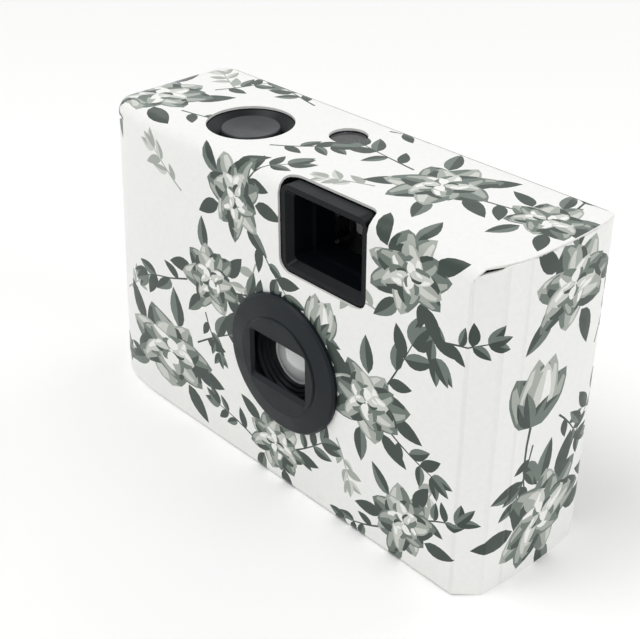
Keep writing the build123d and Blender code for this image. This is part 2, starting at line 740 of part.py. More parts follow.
# Film: across the gate, and the roll that it comes from
roll_radius = 8.5
core_radius = 3.2
film_left_x = -21.0
roll_gap = 0.2
sight = hypot(roll_x - plate_right_x, film_depth - roll_depth)
film_lead = atan2(film_depth - roll_depth, plate_right_x - roll_x)
touch = film_lead - atan2(sqrt(sight ** 2 - roll_radius ** 2), roll_radius)
touch_radius = roll_radius + roll_gap + film_thickness
film_z = lens_z - film_height / 2
with BuildPart() as film_strip:
    with BuildSketch(Plane.XY.offset(film_z)):
        with BuildLine():
            film_mid = film_depth + film_thickness / 2
            Polyline((film_left_x, behind(film_mid)), (plate_right_x, behind(film_mid)),
                     (roll_x + touch_radius * cos(touch), behind(roll_depth + touch_radius * sin(touch))))
        trace(line_width=film_thickness)
    extrude(amount=film_height)
    slot_half = sqrt((sprocket_radius + sprocket_tooth + running_gap) ** 2 - sprocket_radius ** 2)
    box_between(sprocket_x - slot_half, sprocket_x + slot_half, film_depth - cut_overrun,
                film_depth + cut_overrun, perforation_z - sprocket_tooth, perforation_z + sprocket_tooth,
                Mode.SUBTRACT)
film_strip.part.label = "film_strip"
export_step(film_strip.part, "parts/film_strip.step")

with BuildPart() as film_roll:
    upright(roll_x, roll_depth, film_z, film_z + film_height, roll_radius)
    upright(roll_x, roll_depth, film_z - cut_overrun, film_z + film_height + cut_overrun,
            core_radius + running_gap, Mode.SUBTRACT)
film_roll.part.label = "film_roll"
export_step(film_roll.part, "parts/film_roll.step")

spool_slot = 0.9
with BuildPart() as supply_spool:
    upright(roll_x, roll_depth, plate_low_z + seat_gap, plate_high_z - seat_gap, spool_journal_radius)
    upright(roll_x, roll_depth, plate_low_z + roll_floor_thickness + seat_gap,
            plate_high_z - roll_roof_thickness - seat_gap, core_radius)
    box_between(roll_x - spool_slot / 2, roll_x + spool_slot / 2, 0, body_depth, plate_low_z,
                plate_low_z + roll_floor_thickness - seat_gap, Mode.SUBTRACT)
supply_spool.part.label = "supply_spool"
export_step(supply_spool.part, "parts/supply_spool.step")


# Sprocket with its shaft, and the cam wheel on the shaft
sprocket_tooth_width = 1.3
counter_x = -1.8
counter_depth = 19.0
counter_low_z = 52.7
counter_thickness = 0.9
counter_tip = 7.0
counter_root = 6.5
counter_teeth = 40
counter_lean_share = 0.25
counter_land_share = 0.1
counter_hub_radius = 1.9
counter_pin_radius = 1.0
cam_low_z = 47.1
cam_height = 2.0
cam_small = 2.6
cam_large = 4.2
cam_hub_radius = 2.0
with BuildPart() as sprocket:
    upright(sprocket_x, sprocket_depth, sprocket_low_z, sprocket_high_z, sprocket_radius)
    with Locations((sprocket_x, behind(sprocket_depth), perforation_z)):
        with PolarLocations(sprocket_radius, sprocket_teeth, start_angle=90):
            Box(2 * sprocket_tooth, sprocket_tooth_width, sprocket_tooth_width)
    upright(sprocket_x, sprocket_depth, sprocket_high_z, top_plate_low_z + top_plate_thickness, shaft_radius)
sprocket.part.label = "sprocket"
export_step(sprocket.part, "parts/sprocket.step")

with BuildPart() as cam_wheel:
    with BuildSketch(Plane((sprocket_x, behind(sprocket_depth), cam_low_z))):
        with BuildLine():
            rise = ThreePointArc((cam_small, 0), (0, (cam_small + cam_large) / 2), (-cam_large, 0))
            rest = ThreePointArc(rise @ 1, (0, -cam_large),
                                 (cam_large * cos(pi / 4), -cam_large * sin(pi / 4)))
            Line(rest @ 1, rise @ 0)
        make_face()
    extrude(amount=cam_height)
    upright(sprocket_x, sprocket_depth, cam_low_z, counter_low_z + counter_thickness, cam_hub_radius)
    kicker = hypot(counter_x - sprocket_x, counter_depth - sprocket_depth) - counter_tip - seat_gap
    kicker_turn = degrees(atan2(counter_depth - sprocket_depth, counter_x - sprocket_x))
    with Locations(Location((sprocket_x, behind(sprocket_depth), counter_low_z + counter_thickness / 2),
                            (0, 0, kicker_turn))):
        with Locations((kicker / 2, 0)):
            Box(kicker, sprocket_tooth, counter_thickness)
    upright(sprocket_x, sprocket_depth, cam_low_z - cut_overrun, body_height, shaft_radius, Mode.SUBTRACT)
cam_wheel.part.label = "cam_wheel"
export_step(cam_wheel.part, "parts/cam_wheel.step")

with BuildPart() as counter_disc:
    with BuildSketch(Plane((counter_x, behind(counter_depth), counter_low_z))):
        with BuildLine():
            Polyline(*toothed_outline(counter_teeth, counter_root, counter_tip, counter_lean_share,
                                       counter_land_share), close=True)
        make_face()
    extrude(amount=counter_thickness)
    upright(counter_x, counter_depth, counter_low_z - counter_thickness, counter_low_z, counter_hub_radius)
    upright(counter_x, counter_depth, counter_low_z - cut_overrun, counter_low_z + cut_overrun,
            counter_pin_radius + running_gap, Mode.SUBTRACT)
counter_disc.part.label = "counter_disc"
export_step(counter_disc.part, "parts/counter_disc.step")


# Top plate: keeps the wheel, the shaft and the levers down, and carries the counter's pin
plate_disc_radius = 9.4
top_plate_front_depth = 6.6
top_plate_right_x = 6.3
window_plug_radius = 2.6
with BuildPart() as top_plate:
    with BuildSketch(Plane.XY.offset(top_plate_low_z)):
        with Locations((wheel_x, behind(axis_depth))):
            Circle(plate_disc_radius)
        with Locations(((wheel_x + top_plate_right_x) / 2,
                        behind((top_plate_front_depth + deck_back_depth) / 2))):
            Rectangle(top_plate_right_x - wheel_x, deck_back_depth - top_plate_front_depth)
        fillet(vertices().group_by(Axis.X)[-1], radius=ear_width)
        with Locations((wheel_x, behind(axis_depth))):
            Circle(wheel_hub_radius - wheel_web - running_gap - wheel_web, mode=Mode.SUBTRACT)
        with Locations((button_x, behind(button_depth))):
            Circle(stem_radius + part_gap, mode=Mode.SUBTRACT)
        with Locations((sprocket_x, behind(sprocket_depth))):
            Circle(shaft_radius + running_gap, mode=Mode.SUBTRACT)
        with Locations((window_x, behind(window_depth))):
            Circle(window_plug_radius + seat_gap, mode=Mode.SUBTRACT)
    extrude(amount=top_plate_thickness)
    upright(counter_x, counter_depth, counter_low_z - counter_thickness, top_plate_low_z, counter_pin_radius)
top_plate.part.label = "top_plate"
export_step(top_plate.part, "parts/top_plate.step")

# Wind pawl, a leaf that rests against the ratchet on top of the wheel
pawl_thickness = 0.35
pawl_turn = 12.0
pawl_foot_x = -18.6
pawl_foot_depth = 22.0
pawl_foot_radius = 0.8
with BuildPart() as wind_pawl:
    tip_x = wheel_x + (ratchet_radius + part_gap) * cos(radians(pawl_turn))
    tip_depth = axis_depth + (ratchet_radius + part_gap) * sin(radians(pawl_turn))
    pawl_low_z = wheel_high_z + seat_gap
    with BuildSketch(Plane.XY.offset(pawl_low_z)):
        with BuildLine():
            Line((tip_x, behind(tip_depth)), (pawl_foot_x, behind(pawl_foot_depth)))
        trace(line_width=pawl_thickness)
        with Locations((pawl_foot_x, behind(pawl_foot_depth))):
            Circle(pawl_foot_radius)
    extrude(amount=top_plate_low_z - pawl_low_z)
wind_pawl.part.label = "wind_pawl"
export_step(wind_pawl.part, "parts/wind_pawl.step")


# Striker and release lever
striker_low_z = deck_high_z + part_gap
striker_thickness = 1.9
striker_hub_radius = 2.3
striker_arm_width = 1.6
finger_x = 3.3
finger_depth = 6.8
finger_low_z = 41.4
finger_width = 1.1
tail_x = -6.6
tail_depth = 18.2
with BuildPart() as striker_lever:
    striker_plane = Plane.XY.offset(striker_low_z)
    with BuildSketch(striker_plane):
        with Locations((striker_x, behind(striker_depth))):
            Circle(striker_arm_width)
        with Locations((finger_x, behind(finger_depth))):
            Circle(finger_width / 2)
        make_hull()
    with BuildSketch(striker_plane):
        with Locations((striker_x, behind(striker_depth))):
            Circle(striker_arm_width)
        with Locations((tail_x, behind(tail_depth))):
            Circle(finger_width / 2)
        make_hull()
    extrude(amount=striker_thickness)
    upright(striker_x, striker_depth, striker_low_z, striker_low_z + striker_thickness, striker_hub_radius)
    upright(finger_x, finger_depth, finger_low_z, striker_low_z + striker_thickness, finger_width / 2)
    upright(striker_x, striker_depth, striker_low_z - cut_overrun,
            striker_low_z + striker_thickness + cut_overrun,
            post_radius + running_gap, Mode.SUBTRACT)
striker_lever.part.label = "striker_lever"
export_step(striker_lever.part, "parts/striker_lever.step")

lever_hub_radius = 1.6
lever_arm_height = 1.5
latch_x = -1.6
latch_width = 1.1
latch_gap = 0.15
pad_x = button_x
pad_radius = 0.7
pad_z = 52.3
lever_half_depth = 0.9
with BuildPart() as release_lever:
    with BuildSketch(facing(lever_depth - lever_half_length)):
        with Locations((lever_x, lever_z)):
            Circle(lever_hub_radius)
    extrude(amount=-2 * lever_half_length)
    with BuildSketch(facing(lever_depth - lever_half_length - ear_thickness)):
        with Locations((lever_x, lever_z)):
            Circle(journal_radius)
    extrude(amount=-2 * (lever_half_length + ear_thickness))
    latch_low_z = striker_low_z + striker_thickness + latch_gap
    with BuildSketch(facing(lever_depth - lever_half_depth)):
        with BuildLine():
            Polyline((lever_x, lever_z + lever_arm_height / 2), (latch_x, lever_z + lever_arm_height / 2),
                     (latch_x, latch_low_z), (latch_x - latch_width, latch_low_z),
                     (latch_x - latch_width, lever_z - lever_arm_height / 2),
                     (lever_x, lever_z - lever_arm_height / 2),
                     close=True)
        make_face()
    extrude(amount=-2 * lever_half_depth)
    with BuildSketch(Plane.XY.offset(lever_z - lever_arm_height / 2)):
        with Locations((lever_x, behind(lever_depth))):
            Circle(lever_half_depth)
        with Locations((pad_x, behind(button_depth))):
            Circle(lever_hub_radius)
        make_hull()
    extrude(amount=lever_arm_height)
    upright(pad_x, button_depth, lever_z, pad_z, pad_radius)
release_lever.part.label = "release_lever"
export_step(release_lever.part, "parts/release_lever.step")


# Shutter button with its guide stem, and the spring under it
cap_radius = 5.35
cap_top_z = 61.3
cap_low_z = 58.1
cap_wall = 0.9
cap_thickness = 1.2
cap_dish = 0.45
stem_tip_radius = 0.6
stem_tip_length = 1.0
spring_radius = 3.2
spring_wire = 0.4
spring_turns = 3
dish_sphere = (cap_radius ** 2 + cap_dish ** 2) / (2 * cap_dish)
with BuildPart() as shutter_button:
    upright(button_x, button_depth, cap_low_z, cap_top_z, cap_radius)
    fillet(shutter_button.edges().group_by(Axis.Z)[-1], radius=cap_dish)
    with Locations((button_x, behind(button_depth), cap_top_z - cap_dish + dish_sphere)):
        Sphere(dish_sphere, mode=Mode.SUBTRACT)
    upright(button_x, button_depth, cap_low_z - cut_overrun, cap_top_z - cap_dish - cap_thickness,
            cap_radius - cap_wall, Mode.SUBTRACT)
    upright(button_x, button_depth, pad_z + 2 * latch_gap + stem_tip_length,
            cap_top_z - cap_dish - cap_thickness,
            stem_radius)
    upright(button_x, button_depth, pad_z + latch_gap, pad_z + 2 * latch_gap + stem_tip_length,
            stem_tip_radius)
shutter_button.part.label = "shutter_button"
export_step(shutter_button.part, "parts/shutter_button.step")


spring_top_z = cap_top_z - cap_dish - cap_thickness
button_spring = coil(Plane((button_x, behind(button_depth), well_floor_z + running_gap)), spring_radius,
                     spring_top_z - well_floor_z - 2 * running_gap, spring_turns, spring_wire)
button_spring.label = "button_spring"
export_step(button_spring, "parts/button_spring.step")

striker_spring_radius = 1.75
striker_spring_wire = 0.4
striker_spring_turns = 2
striker_spring_low_z = striker_low_z + striker_thickness + running_gap
striker_spring = coil(Plane((striker_x, behind(striker_depth), striker_spring_low_z)), striker_spring_radius,
                      post_high_z - striker_spring_low_z - running_gap, striker_spring_turns,
                      striker_spring_wire)
striker_spring.label = "striker_spring"
export_step(striker_spring, "parts/striker_spring.step")


# Shutter blade and its return spring
blade_radius = 3.0
blade_hub_radius = 1.7
blade_tip_radius = 0.8
blade_tip_x = 5.7
blade_tip_z = 42.4
blade_ear_x = 15.4
blade_ear_z = 34.6
blade_ear_radius = 0.8
blade_spring_radius = 0.5
blade_spring_wire = 0.2
blade_spring_turns = 4
with BuildPart() as shutter_blade:
    for far_x, far_z, far_radius in ((lens_x, lens_z, blade_radius),
                                     (blade_tip_x, blade_tip_z, blade_tip_radius),
                                     (blade_ear_x, blade_ear_z, blade_ear_radius)):
        with BuildSketch(facing(blade_depth)):
            with Locations((blade_pivot_x, blade_pivot_z)):
                Circle(blade_hub_radius)
            with Locations((far_x, far_z)):
                Circle(far_radius)
            make_hull()
        extrude(amount=-blade_thickness)
    with BuildSketch(facing(blade_depth - cut_overrun)):
        with Locations((blade_pivot_x, blade_pivot_z)):
            Circle(blade_pin_radius + running_gap)
    extrude(amount=-2 * cut_overrun, mode=Mode.SUBTRACT)
shutter_blade.part.label = "shutter_blade"
export_step(shutter_blade.part, "parts/shutter_blade.step")

spring_run_x = spring_post_x - blade_ear_x
spring_run_z = spring_post_z - blade_ear_z
spring_run = hypot(spring_run_x, spring_run_z)
spring_start = blade_ear_radius / spring_run
blade_spring_low = Vector(blade_ear_x + spring_run_x * spring_start,
                          behind(blade_depth - blade_spring_radius - blade_spring_wire),
                          blade_ear_z + spring_run_z * spring_start)
blade_spring_plane = Plane(origin=blade_spring_low, x_dir=(0, 1, 0), z_dir=(spring_run_x, 0, spring_run_z))
blade_spring_length = spring_run - blade_ear_radius - blade_pin_radius - running_gap
blade_spring = coil(blade_spring_plane, blade_spring_radius, blade_spring_length, blade_spring_turns,
                    blade_spring_wire)
blade_spring.label = "blade_spring"
export_step(blade_spring, "parts/blade_spring.step")


# Lens: its mount, the lens, the stepped retainer and the ring
lens_axis = Axis((lens_x, front_y, lens_z), (0, -1, 0))
lens_section = Plane(origin=(lens_x, front_y, lens_z), x_dir=(0, 0, 1), z_dir=(1, 0, 0))
flange_front = lens_depth + lens_bulge
flange_back = flange_front + lens_rim_thickness
post_spread = mount_post_spread
with BuildPart() as lens_mount:
    cup_inside = lens_flange_radius + running_gap
    cup_outside = cup_inside + mount_cup_wall
    mount_plate_back = -mount_plate_depth - mount_plate_thickness
    with BuildSketch(lens_section):
        with BuildLine():
            Polyline((cup_inside, -flange_front), (cup_outside, -flange_front),
                     (cup_outside, -mount_plate_depth),
                     (mount_plate_radius, -mount_plate_depth), (mount_plate_radius, mount_plate_back),
                     (aperture_radius, mount_plate_back),
                     (aperture_radius, -mount_plate_depth - aperture_bevel),
                     (lens_clear_radius, -flange_back - lens_back_bulge),
                     (lens_clear_radius, -flange_back - running_gap),
                     (cup_inside, -flange_back - running_gap),
                     close=True)
        make_face()
    revolve(axis=lens_axis)
    for side in (-1, 1):
        with BuildSketch(facing(mount_plate_depth + mount_plate_thickness / 2)):
            with Locations((lens_x + side * post_spread, lens_z)):
                Circle(mount_post_radius)
        extrude(amount=-(wall_depth - mount_plate_depth - mount_plate_thickness / 2))
lens_mount.part.label = "lens_mount"
export_step(lens_mount.part, "parts/lens_mount.step")

with BuildPart() as taking_lens:
    with BuildSketch(lens_section):
        with BuildLine():
            half = lens_clear_radius / 2
            half_fall = bow_fall(lens_clear_radius, lens_bulge)
            front_bow = ThreePointArc((0, -lens_depth), (half, -lens_depth - half_fall),
                                      (lens_clear_radius, -flange_front))
            rim = Polyline(front_bow @ 1, (lens_flange_radius, -flange_front),
                           (lens_flange_radius, -flange_back),
                           (lens_clear_radius, -flange_back))
            back_apex = -flange_back - lens_back_bulge
            back_bow = ThreePointArc(rim @ 1, (half,
                                               back_apex + bow_fall(lens_clear_radius, lens_back_bulge)),
                                     (0, back_apex))
            Line(back_bow @ 1, front_bow @ 0)
        make_face()
    revolve(axis=lens_axis)
taking_lens.part.label = "taking_lens"
export_step(taking_lens.part, "parts/taking_lens.step")

with BuildPart() as lens_retainer:
    with BuildSketch(lens_section):
        with BuildLine():
            marks = [(retainer_radius, -mount_plate_depth + running_gap),
                     (retainer_radius, -retainer_front_depth)]
            step_in = (retainer_mouth_radius - lens_clear_radius) / retainer_steps
            step_back = (flange_front - running_gap - retainer_front_depth) / retainer_steps
            for step in range(retainer_steps):
                radius = retainer_mouth_radius - step * step_in
                marks.append((radius, -retainer_front_depth - step * step_back))
                marks.append((radius - step_in / 3, -retainer_front_depth - (step + 1) * step_back))
            marks.append((lens_clear_radius, -flange_front + running_gap))
            cup_radius = cup_outside + running_gap
            marks.append((cup_radius, -flange_front + running_gap))
            marks.append((cup_radius, -mount_plate_depth + running_gap))
            Polyline(*marks, close=True)
        make_face()
    revolve(axis=lens_axis)
lens_retainer.part.label = "lens_retainer"
export_step(lens_retainer.part, "parts/lens_retainer.step")

disc_back = ring_proud - mask_thickness
with BuildPart() as lens_ring:
    with BuildSketch(lens_section):
        with BuildLine():
            Polyline((ring_bore_radius, -ring_hub_depth), (ring_hub_radius, -ring_hub_depth),
                     (ring_hub_radius, running_gap), (ring_radius, running_gap),
                     (ring_radius, ring_edge - ring_edge_chamfer),
                     (ring_radius - ring_edge_chamfer, ring_edge), (ring_step_radius, ring_cone_rise),
                     (ring_disc_radius, ring_cone_rise),
                     (ring_disc_radius, ring_proud - ring_edge_chamfer / 2),
                     (ring_disc_radius - ring_edge_chamfer / 2, ring_proud), (0, ring_proud), (0, disc_back),
                     (ring_bore_radius, disc_back), close=True)
        make_face()
    revolve(axis=lens_axis)
    funnel(lens_x, mask_corner_radius, (
        (-ring_proud, mask_width + mask_bevel, mask_height + 2 * mask_bevel, lens_z),
        (-ring_proud + mask_bevel, mask_width, mask_height, lens_z),
        (-ring_proud + mask_thickness + cut_overrun, mask_width, mask_height, lens_z),
    ), Mode.SUBTRACT)
lens_ring.part.label = "lens_ring"
export_step(lens_ring.part, "parts/lens_ring.step")


# Viewfinder: hood, tapered tube and its two lenses
hood_gap = 0.3
hood_front_depth = 0.35
hood_rim = 1.0
hood_bevel = 0.9
hood_bevel_depth = 1.2
hood_low_z = finder_bottom_z + hood_gap
hood_back_depth = finder_wrap - hood_gap
tube_width = 18.6
tube_height = 13.2
tube_back_width = 12.8
tube_back_height = 10.6
tube_back_depth = 26.8
step_depth = 4.8
step_side = 0.9
pocket_depth = 8.6
front_lens_thickness = 1.8
front_lens_width = 12.4
front_lens_height = 9.6
front_lens_curve = 16.0
rear_lens_thickness = 1.6
rear_lens_width = 10.2
rear_lens_height = 8.2
rear_lens_curve = 14.0
hood_width = finder_width - 2 * hood_gap
hood_height = cover_top_z - hood_low_z
hood_z = (cover_top_z + hood_low_z) / 2
mouth_width = hood_width - 2 * hood_rim
mouth_height = hood_height - 2 * hood_rim
rear_lens_depth = tube_back_depth - rear_lens_thickness
with BuildPart() as viewfinder_frame:
    funnel(finder_x, finder_corner - hood_gap, (
        (hood_front_depth, hood_width, hood_height, hood_z),
        (hood_back_depth, hood_width, hood_height, hood_z),
    ))
    funnel(finder_x, eye_corner, (
        (hood_back_depth, tube_width, tube_height, eye_z),
        (tube_back_depth, tube_back_width, tube_back_height, eye_z),
    ))
    # The way in: a bevelled mouth, two steps, the seats of the two lenses and the taper between them
    front_seat_width = front_lens_width + 2 * running_gap
    front_seat_height = front_lens_height + 2 * running_gap
    front_seat_end = pocket_depth + front_lens_thickness + 2 * running_gap
    rear_seat_width = rear_lens_width + 2 * running_gap
    rear_seat_height = rear_lens_height + 2 * running_gap
    funnel(finder_x, eye_corner / 2, (
        (hood_front_depth, mouth_width, mouth_height, hood_z),
        (hood_front_depth + hood_bevel_depth, mouth_width - 2 * hood_bevel, mouth_height - 2 * hood_bevel,
         hood_z),
        (step_depth, front_lens_width + 2 * step_side, front_lens_height + step_side, eye_z),
        (step_depth, front_lens_width, front_lens_height, eye_z),
        (pocket_depth, front_lens_width - step_side, front_lens_height - step_side, eye_z),
        (pocket_depth, front_seat_width, front_seat_height, eye_z),
        (front_seat_end, front_seat_width, front_seat_height, eye_z),
        (front_seat_end, front_lens_width - step_side, front_lens_height - step_side, eye_z),
        (rear_lens_depth - running_gap, rear_lens_width - step_side, rear_lens_height - step_side, eye_z),
        (rear_lens_depth - running_gap, rear_seat_width, rear_seat_height, eye_z),
        (tube_back_depth + cut_overrun, rear_seat_width, rear_seat_height, eye_z),
    ), Mode.SUBTRACT)
viewfinder_frame.part.label = "viewfinder_frame"
export_step(viewfinder_frame.part, "parts/viewfinder_frame.step")

with BuildPart() as finder_front_lens:
    front_lens_depth = pocket_depth + running_gap
    front_lens_back = front_lens_depth + front_lens_thickness
    funnel(finder_x, eye_corner / 2, (
        (front_lens_depth, front_lens_width, front_lens_height, eye_z),
        (front_lens_back, front_lens_width, front_lens_height, eye_z),
    ))
    with Locations((finder_x, behind(front_lens_depth + front_lens_thickness / 2 + front_lens_curve), eye_z)):
        Sphere(front_lens_curve, mode=Mode.SUBTRACT)
finder_front_lens.part.label = "finder_front_lens"
export_step(finder_front_lens.part, "parts/finder_front_lens.step")

with BuildPart() as finder_rear_lens:
    funnel(finder_x, eye_corner / 2, (
        (rear_lens_depth, rear_lens_width, rear_lens_height, eye_z),
        (tube_back_depth, rear_lens_width, rear_lens_height, eye_z),
    ))
    with Locations((finder_x, behind(tube_back_depth - rear_lens_curve), eye_z)):
        Sphere(rear_lens_curve, mode=Mode.INTERSECT)
finder_rear_lens.part.label = "finder_rear_lens"
export_step(finder_rear_lens.part, "parts/finder_rear_lens.step")


# Counter window: a clear plug that reaches down to the numbers
window_dome = 0.3
window_low_z = inner_top_z - window_flange
plug_low_z = counter_low_z + counter_thickness + part_gap
with BuildPart() as counter_window:
    upright(window_x, window_depth, window_low_z, cover_top_z, window_radius)
    upright(window_x, window_depth, window_low_z, inner_top_z - running_gap, window_radius + window_flange)
    upright(window_x, window_depth, plug_low_z, inner_top_z, window_plug_radius)
    with BuildSketch(Plane(origin=(window_x, behind(window_depth), cover_top_z), z_dir=(0, -1, 0))):
        with BuildLine():
            half_dome = window_dome - bow_fall(window_radius, window_dome)
            dome = ThreePointArc((0, window_dome), (window_radius / 2, half_dome), (window_radius, 0))
            Polyline(dome @ 1, (0, 0), dome @ 0)
        make_face()
    revolve(axis=Axis((window_x, behind(window_depth), 0), (0, 0, 1)))
counter_window.part.label = "counter_window"
export_step(counter_window.part, "parts/counter_window.step")
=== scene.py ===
import json
import math

import bmesh
import bpy
import numpy as np
from mathutils import Matrix, Vector
from mathutils.geometry import delaunay_2d_cdt


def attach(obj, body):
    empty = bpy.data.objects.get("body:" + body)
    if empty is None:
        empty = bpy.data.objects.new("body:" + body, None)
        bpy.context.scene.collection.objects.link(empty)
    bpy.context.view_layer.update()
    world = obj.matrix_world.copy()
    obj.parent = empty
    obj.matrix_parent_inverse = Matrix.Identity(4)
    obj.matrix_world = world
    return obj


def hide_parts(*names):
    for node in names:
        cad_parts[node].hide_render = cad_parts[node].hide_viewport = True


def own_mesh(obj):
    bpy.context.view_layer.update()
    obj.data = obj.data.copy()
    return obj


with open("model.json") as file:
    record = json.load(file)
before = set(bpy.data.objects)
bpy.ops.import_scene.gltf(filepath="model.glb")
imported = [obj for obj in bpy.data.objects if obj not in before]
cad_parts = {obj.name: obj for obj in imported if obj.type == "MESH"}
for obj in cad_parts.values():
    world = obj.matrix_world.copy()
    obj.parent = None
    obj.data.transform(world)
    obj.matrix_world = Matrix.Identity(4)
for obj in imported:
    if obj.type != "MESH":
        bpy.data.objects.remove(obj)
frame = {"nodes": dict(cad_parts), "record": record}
mm = 0.001
quarter = math.pi / 2   # a quarter turn


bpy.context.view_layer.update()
print("stage: frame loaded")

# The card as the CAD sleeve has it, in millimetres: x, depth behind its front face, and height.
# A pair is a value at the foot and at the top, because the left end leans in as it rises
card = {
    "height": 62.0, "depth": 30.0, "frontY": -14.125, "thickness": 0.45,
    "flatLeft": (-31.0, -27.0), "easeX": (-40.0, -35.5), "easeDepth": 0.7,
    "turnX": (-51.2, -45.0), "turnDepth": (10.5, 9.5), "backLeftX": (-50.8, -41.5),
    "foldRightX": 48.0, "chamfer": (51.3, 3.9), "sideRight": (52.5, 16.0), "backRightX": 51.9,
    "backCorner": 2.6, "topFold": 2.6, "backFold": 2.4, "footFold": 1.2,
    "footFrontEnd": 4.0, "footBackEnd": 26.0, "footFade": 3.0,
    "slit": 0.5, "slitFoot": 56.0, "slitRise": 1.5, "slitBand": 0.5,
    "plainLeftX": -24.0, "backPlainX": -36.0, "backFlap": 1.6,
}
# Steps of each stretch of the wrap's outline, and the share by which a short side creeps to its corner
steps = {
    "ease": 8, "turn": 22, "side": 18, "corner": 6, "front": 13, "blend": 3, "right": 12, "back": 14,
    "rows": 32, "depths": 24, "creep": 0.3,
}
openings = {
    "lens": (7.9, 27.0, 9.6), "button": (-13.95, 12.4, 7.95), "window": (2.4, 20.6, 3.45),
    "finder": (7.05, 27.3, 45.5, 3.4), "finderCorner": 2.3,
    "thumb": (-40.7, -21.1, 50.0, 55.8), "eye": (10.7, 23.7, 48.45, 57.95), "backCorner": 1.6,
    "ringSteps": 56, "windowSteps": 36, "cornerSteps": 5,
}
touching = 0.001   # distances below this count as none
beforeEnd = 1.0001  # keeps a look-up inside the last step of its table


def newPiece(name, data):
    piece = bpy.data.objects.new(name, data)
    bpy.context.scene.collection.objects.link(piece)
    return piece


def around(angle):
    return np.array([math.cos(angle), math.sin(angle)])


def turned(vector, angle):
    # The vector, turned anticlockwise
    c, s = math.cos(angle), math.sin(angle)
    return np.array([c * vector[0] - s * vector[1], s * vector[0] + c * vector[1]])


def tangentArc(start, heading, end, count):
    # Equal steps along the arc that leaves start along heading: each chord has its share of the full lean
    chord = end - start
    lean = math.atan2(heading[0] * chord[1] - heading[1] * chord[0], float(heading @ chord))
    length = np.hypot(*chord) / math.sin(lean)
    points = [start + turned(heading, lean * step / count) * length * math.sin(lean * step / count)
              for step in range(1, count + 1)]
    return points, turned(heading, 2 * lean)


def cornerCurve(before, corner, after, count):
    # A quadratic curve from one leg to the other round a corner
    shares = np.linspace(0, 1, count + 1)[:, None]
    return list((1 - shares) ** 2 * before + 2 * shares * (1 - shares) * corner + shares ** 2 * after)


def outlineAt(height):
    # The wrap's outline at a height, from its back left corner round the left end, front, right and back
    share = height / card["height"]

    def leant(pair):
        return pair[0] + (pair[1] - pair[0]) * share

    flat = np.array([leant(card["flatLeft"]), 0.0])
    ease = np.array([leant(card["easeX"]), card["easeDepth"]])
    turn = np.array([leant(card["turnX"]), leant(card["turnDepth"])])
    backLeft = np.array([leant(card["backLeftX"]), card["depth"]])
    corner = card["backCorner"]
    easePoints, heading = tangentArc(flat, np.array([-1.0, 0.0]), ease, steps["ease"])
    turnPoints, heading = tangentArc(ease, heading, turn, steps["turn"])
    sidePoints = tangentArc(turn, heading, backLeft, steps["side"])[0]
    sidePoints = [point for point in sidePoints if np.hypot(*(point - backLeft)) > corner]
    sideCount = steps["side"] - 1
    while len(sidePoints) < sideCount:
        sidePoints.append(sidePoints[-1] + (backLeft - sidePoints[-1]) * steps["creep"])
    left = [flat] + easePoints + turnPoints + sidePoints[:sideCount]
    left += cornerCurve(left[-1], backLeft, backLeft + np.array([corner, 0.0]), steps["corner"])[1:]
    frontPlaces = np.linspace(card["plainLeftX"], card["foldRightX"], steps["front"])
    front = [np.array([x, 0.0]) for x in frontPlaces]
    parts = steps["blend"]
    blend = [flat + (front[0] - flat) * step / parts for step in range(1, parts)]
    chamfer = np.array(card["chamfer"])
    side = np.array(card["sideRight"])
    backRight = np.array([card["backRightX"], card["depth"]])
    # Centre of the circle through three places, from the two perpendicular bisectors
    middles = np.array([(chamfer + side) / 2, (side + backRight) / 2])
    legs = np.array([side - chamfer, backRight - side])
    centre = np.linalg.solve(legs, (legs * middles).sum(axis=1))
    radius = np.hypot(*(chamfer - centre))
    ends = [math.atan2(*(place - centre)[::-1]) for place in (chamfer, backRight)]
    right = [centre + radius * around(angle) for angle in np.linspace(*ends, steps["right"])]
    right = [point for point in right if point[1] < card["depth"] - corner]
    rightTurn = cornerCurve(right[-1], backRight, backRight - np.array([corner, 0.0]), steps["corner"])[1:]
    backPlaces = np.linspace(rightTurn[-1][0], card["backPlainX"], steps["back"])
    back = [np.array([x, card["depth"]]) for x in backPlaces][1:]
    back += [back[-1] + (left[-1] - back[-1]) * step / parts for step in range(1, parts + 1)]
    return np.array(left[::-1] + blend + front + [chamfer] + right[1:] + rightTurn + back)


rows = np.array([outlineAt(height) for height in np.linspace(0.0, card["height"], steps["rows"])])
foldHeight = card["height"] - card["topFold"]
foldRow = outlineAt(foldHeight)
# Distances along the outline at the front fold, which equal x on the front panel
columns = np.concatenate([[0.0], np.cumsum(np.hypot(*np.diff(foldRow, axis=0).T))])
foldColumn = int(np.argmin(np.hypot(foldRow[:, 0] - card["foldRightX"], foldRow[:, 1])))
columns += card["foldRightX"] - columns[foldColumn]
onFront = foldRow[:, 1] <= touching
flatColumn = int(np.argmin(np.where(onFront, np.abs(columns - foldRow[:, 0]), np.inf)))
backColumn = foldColumn + int(np.argmax(foldRow[foldColumn:, 1] > card["depth"] - touching))
backStartU = columns[backColumn]
backZeroU = backStartU + foldRow[backColumn, 0]
frontArc = card["topFold"] * quarter
backArc = card["backFold"] * quarter
backFoldStart = frontArc + card["depth"] - card["topFold"] - card["backFold"]
roofEnd = backFoldStart + backArc + card["backFlap"]


def tableStep(value, count):
    # The step of an even table that holds a value, and the share of the way through it
    value = np.clip(value, 0, count - beforeEnd)
    low = value.astype(int)
    return low, value - low


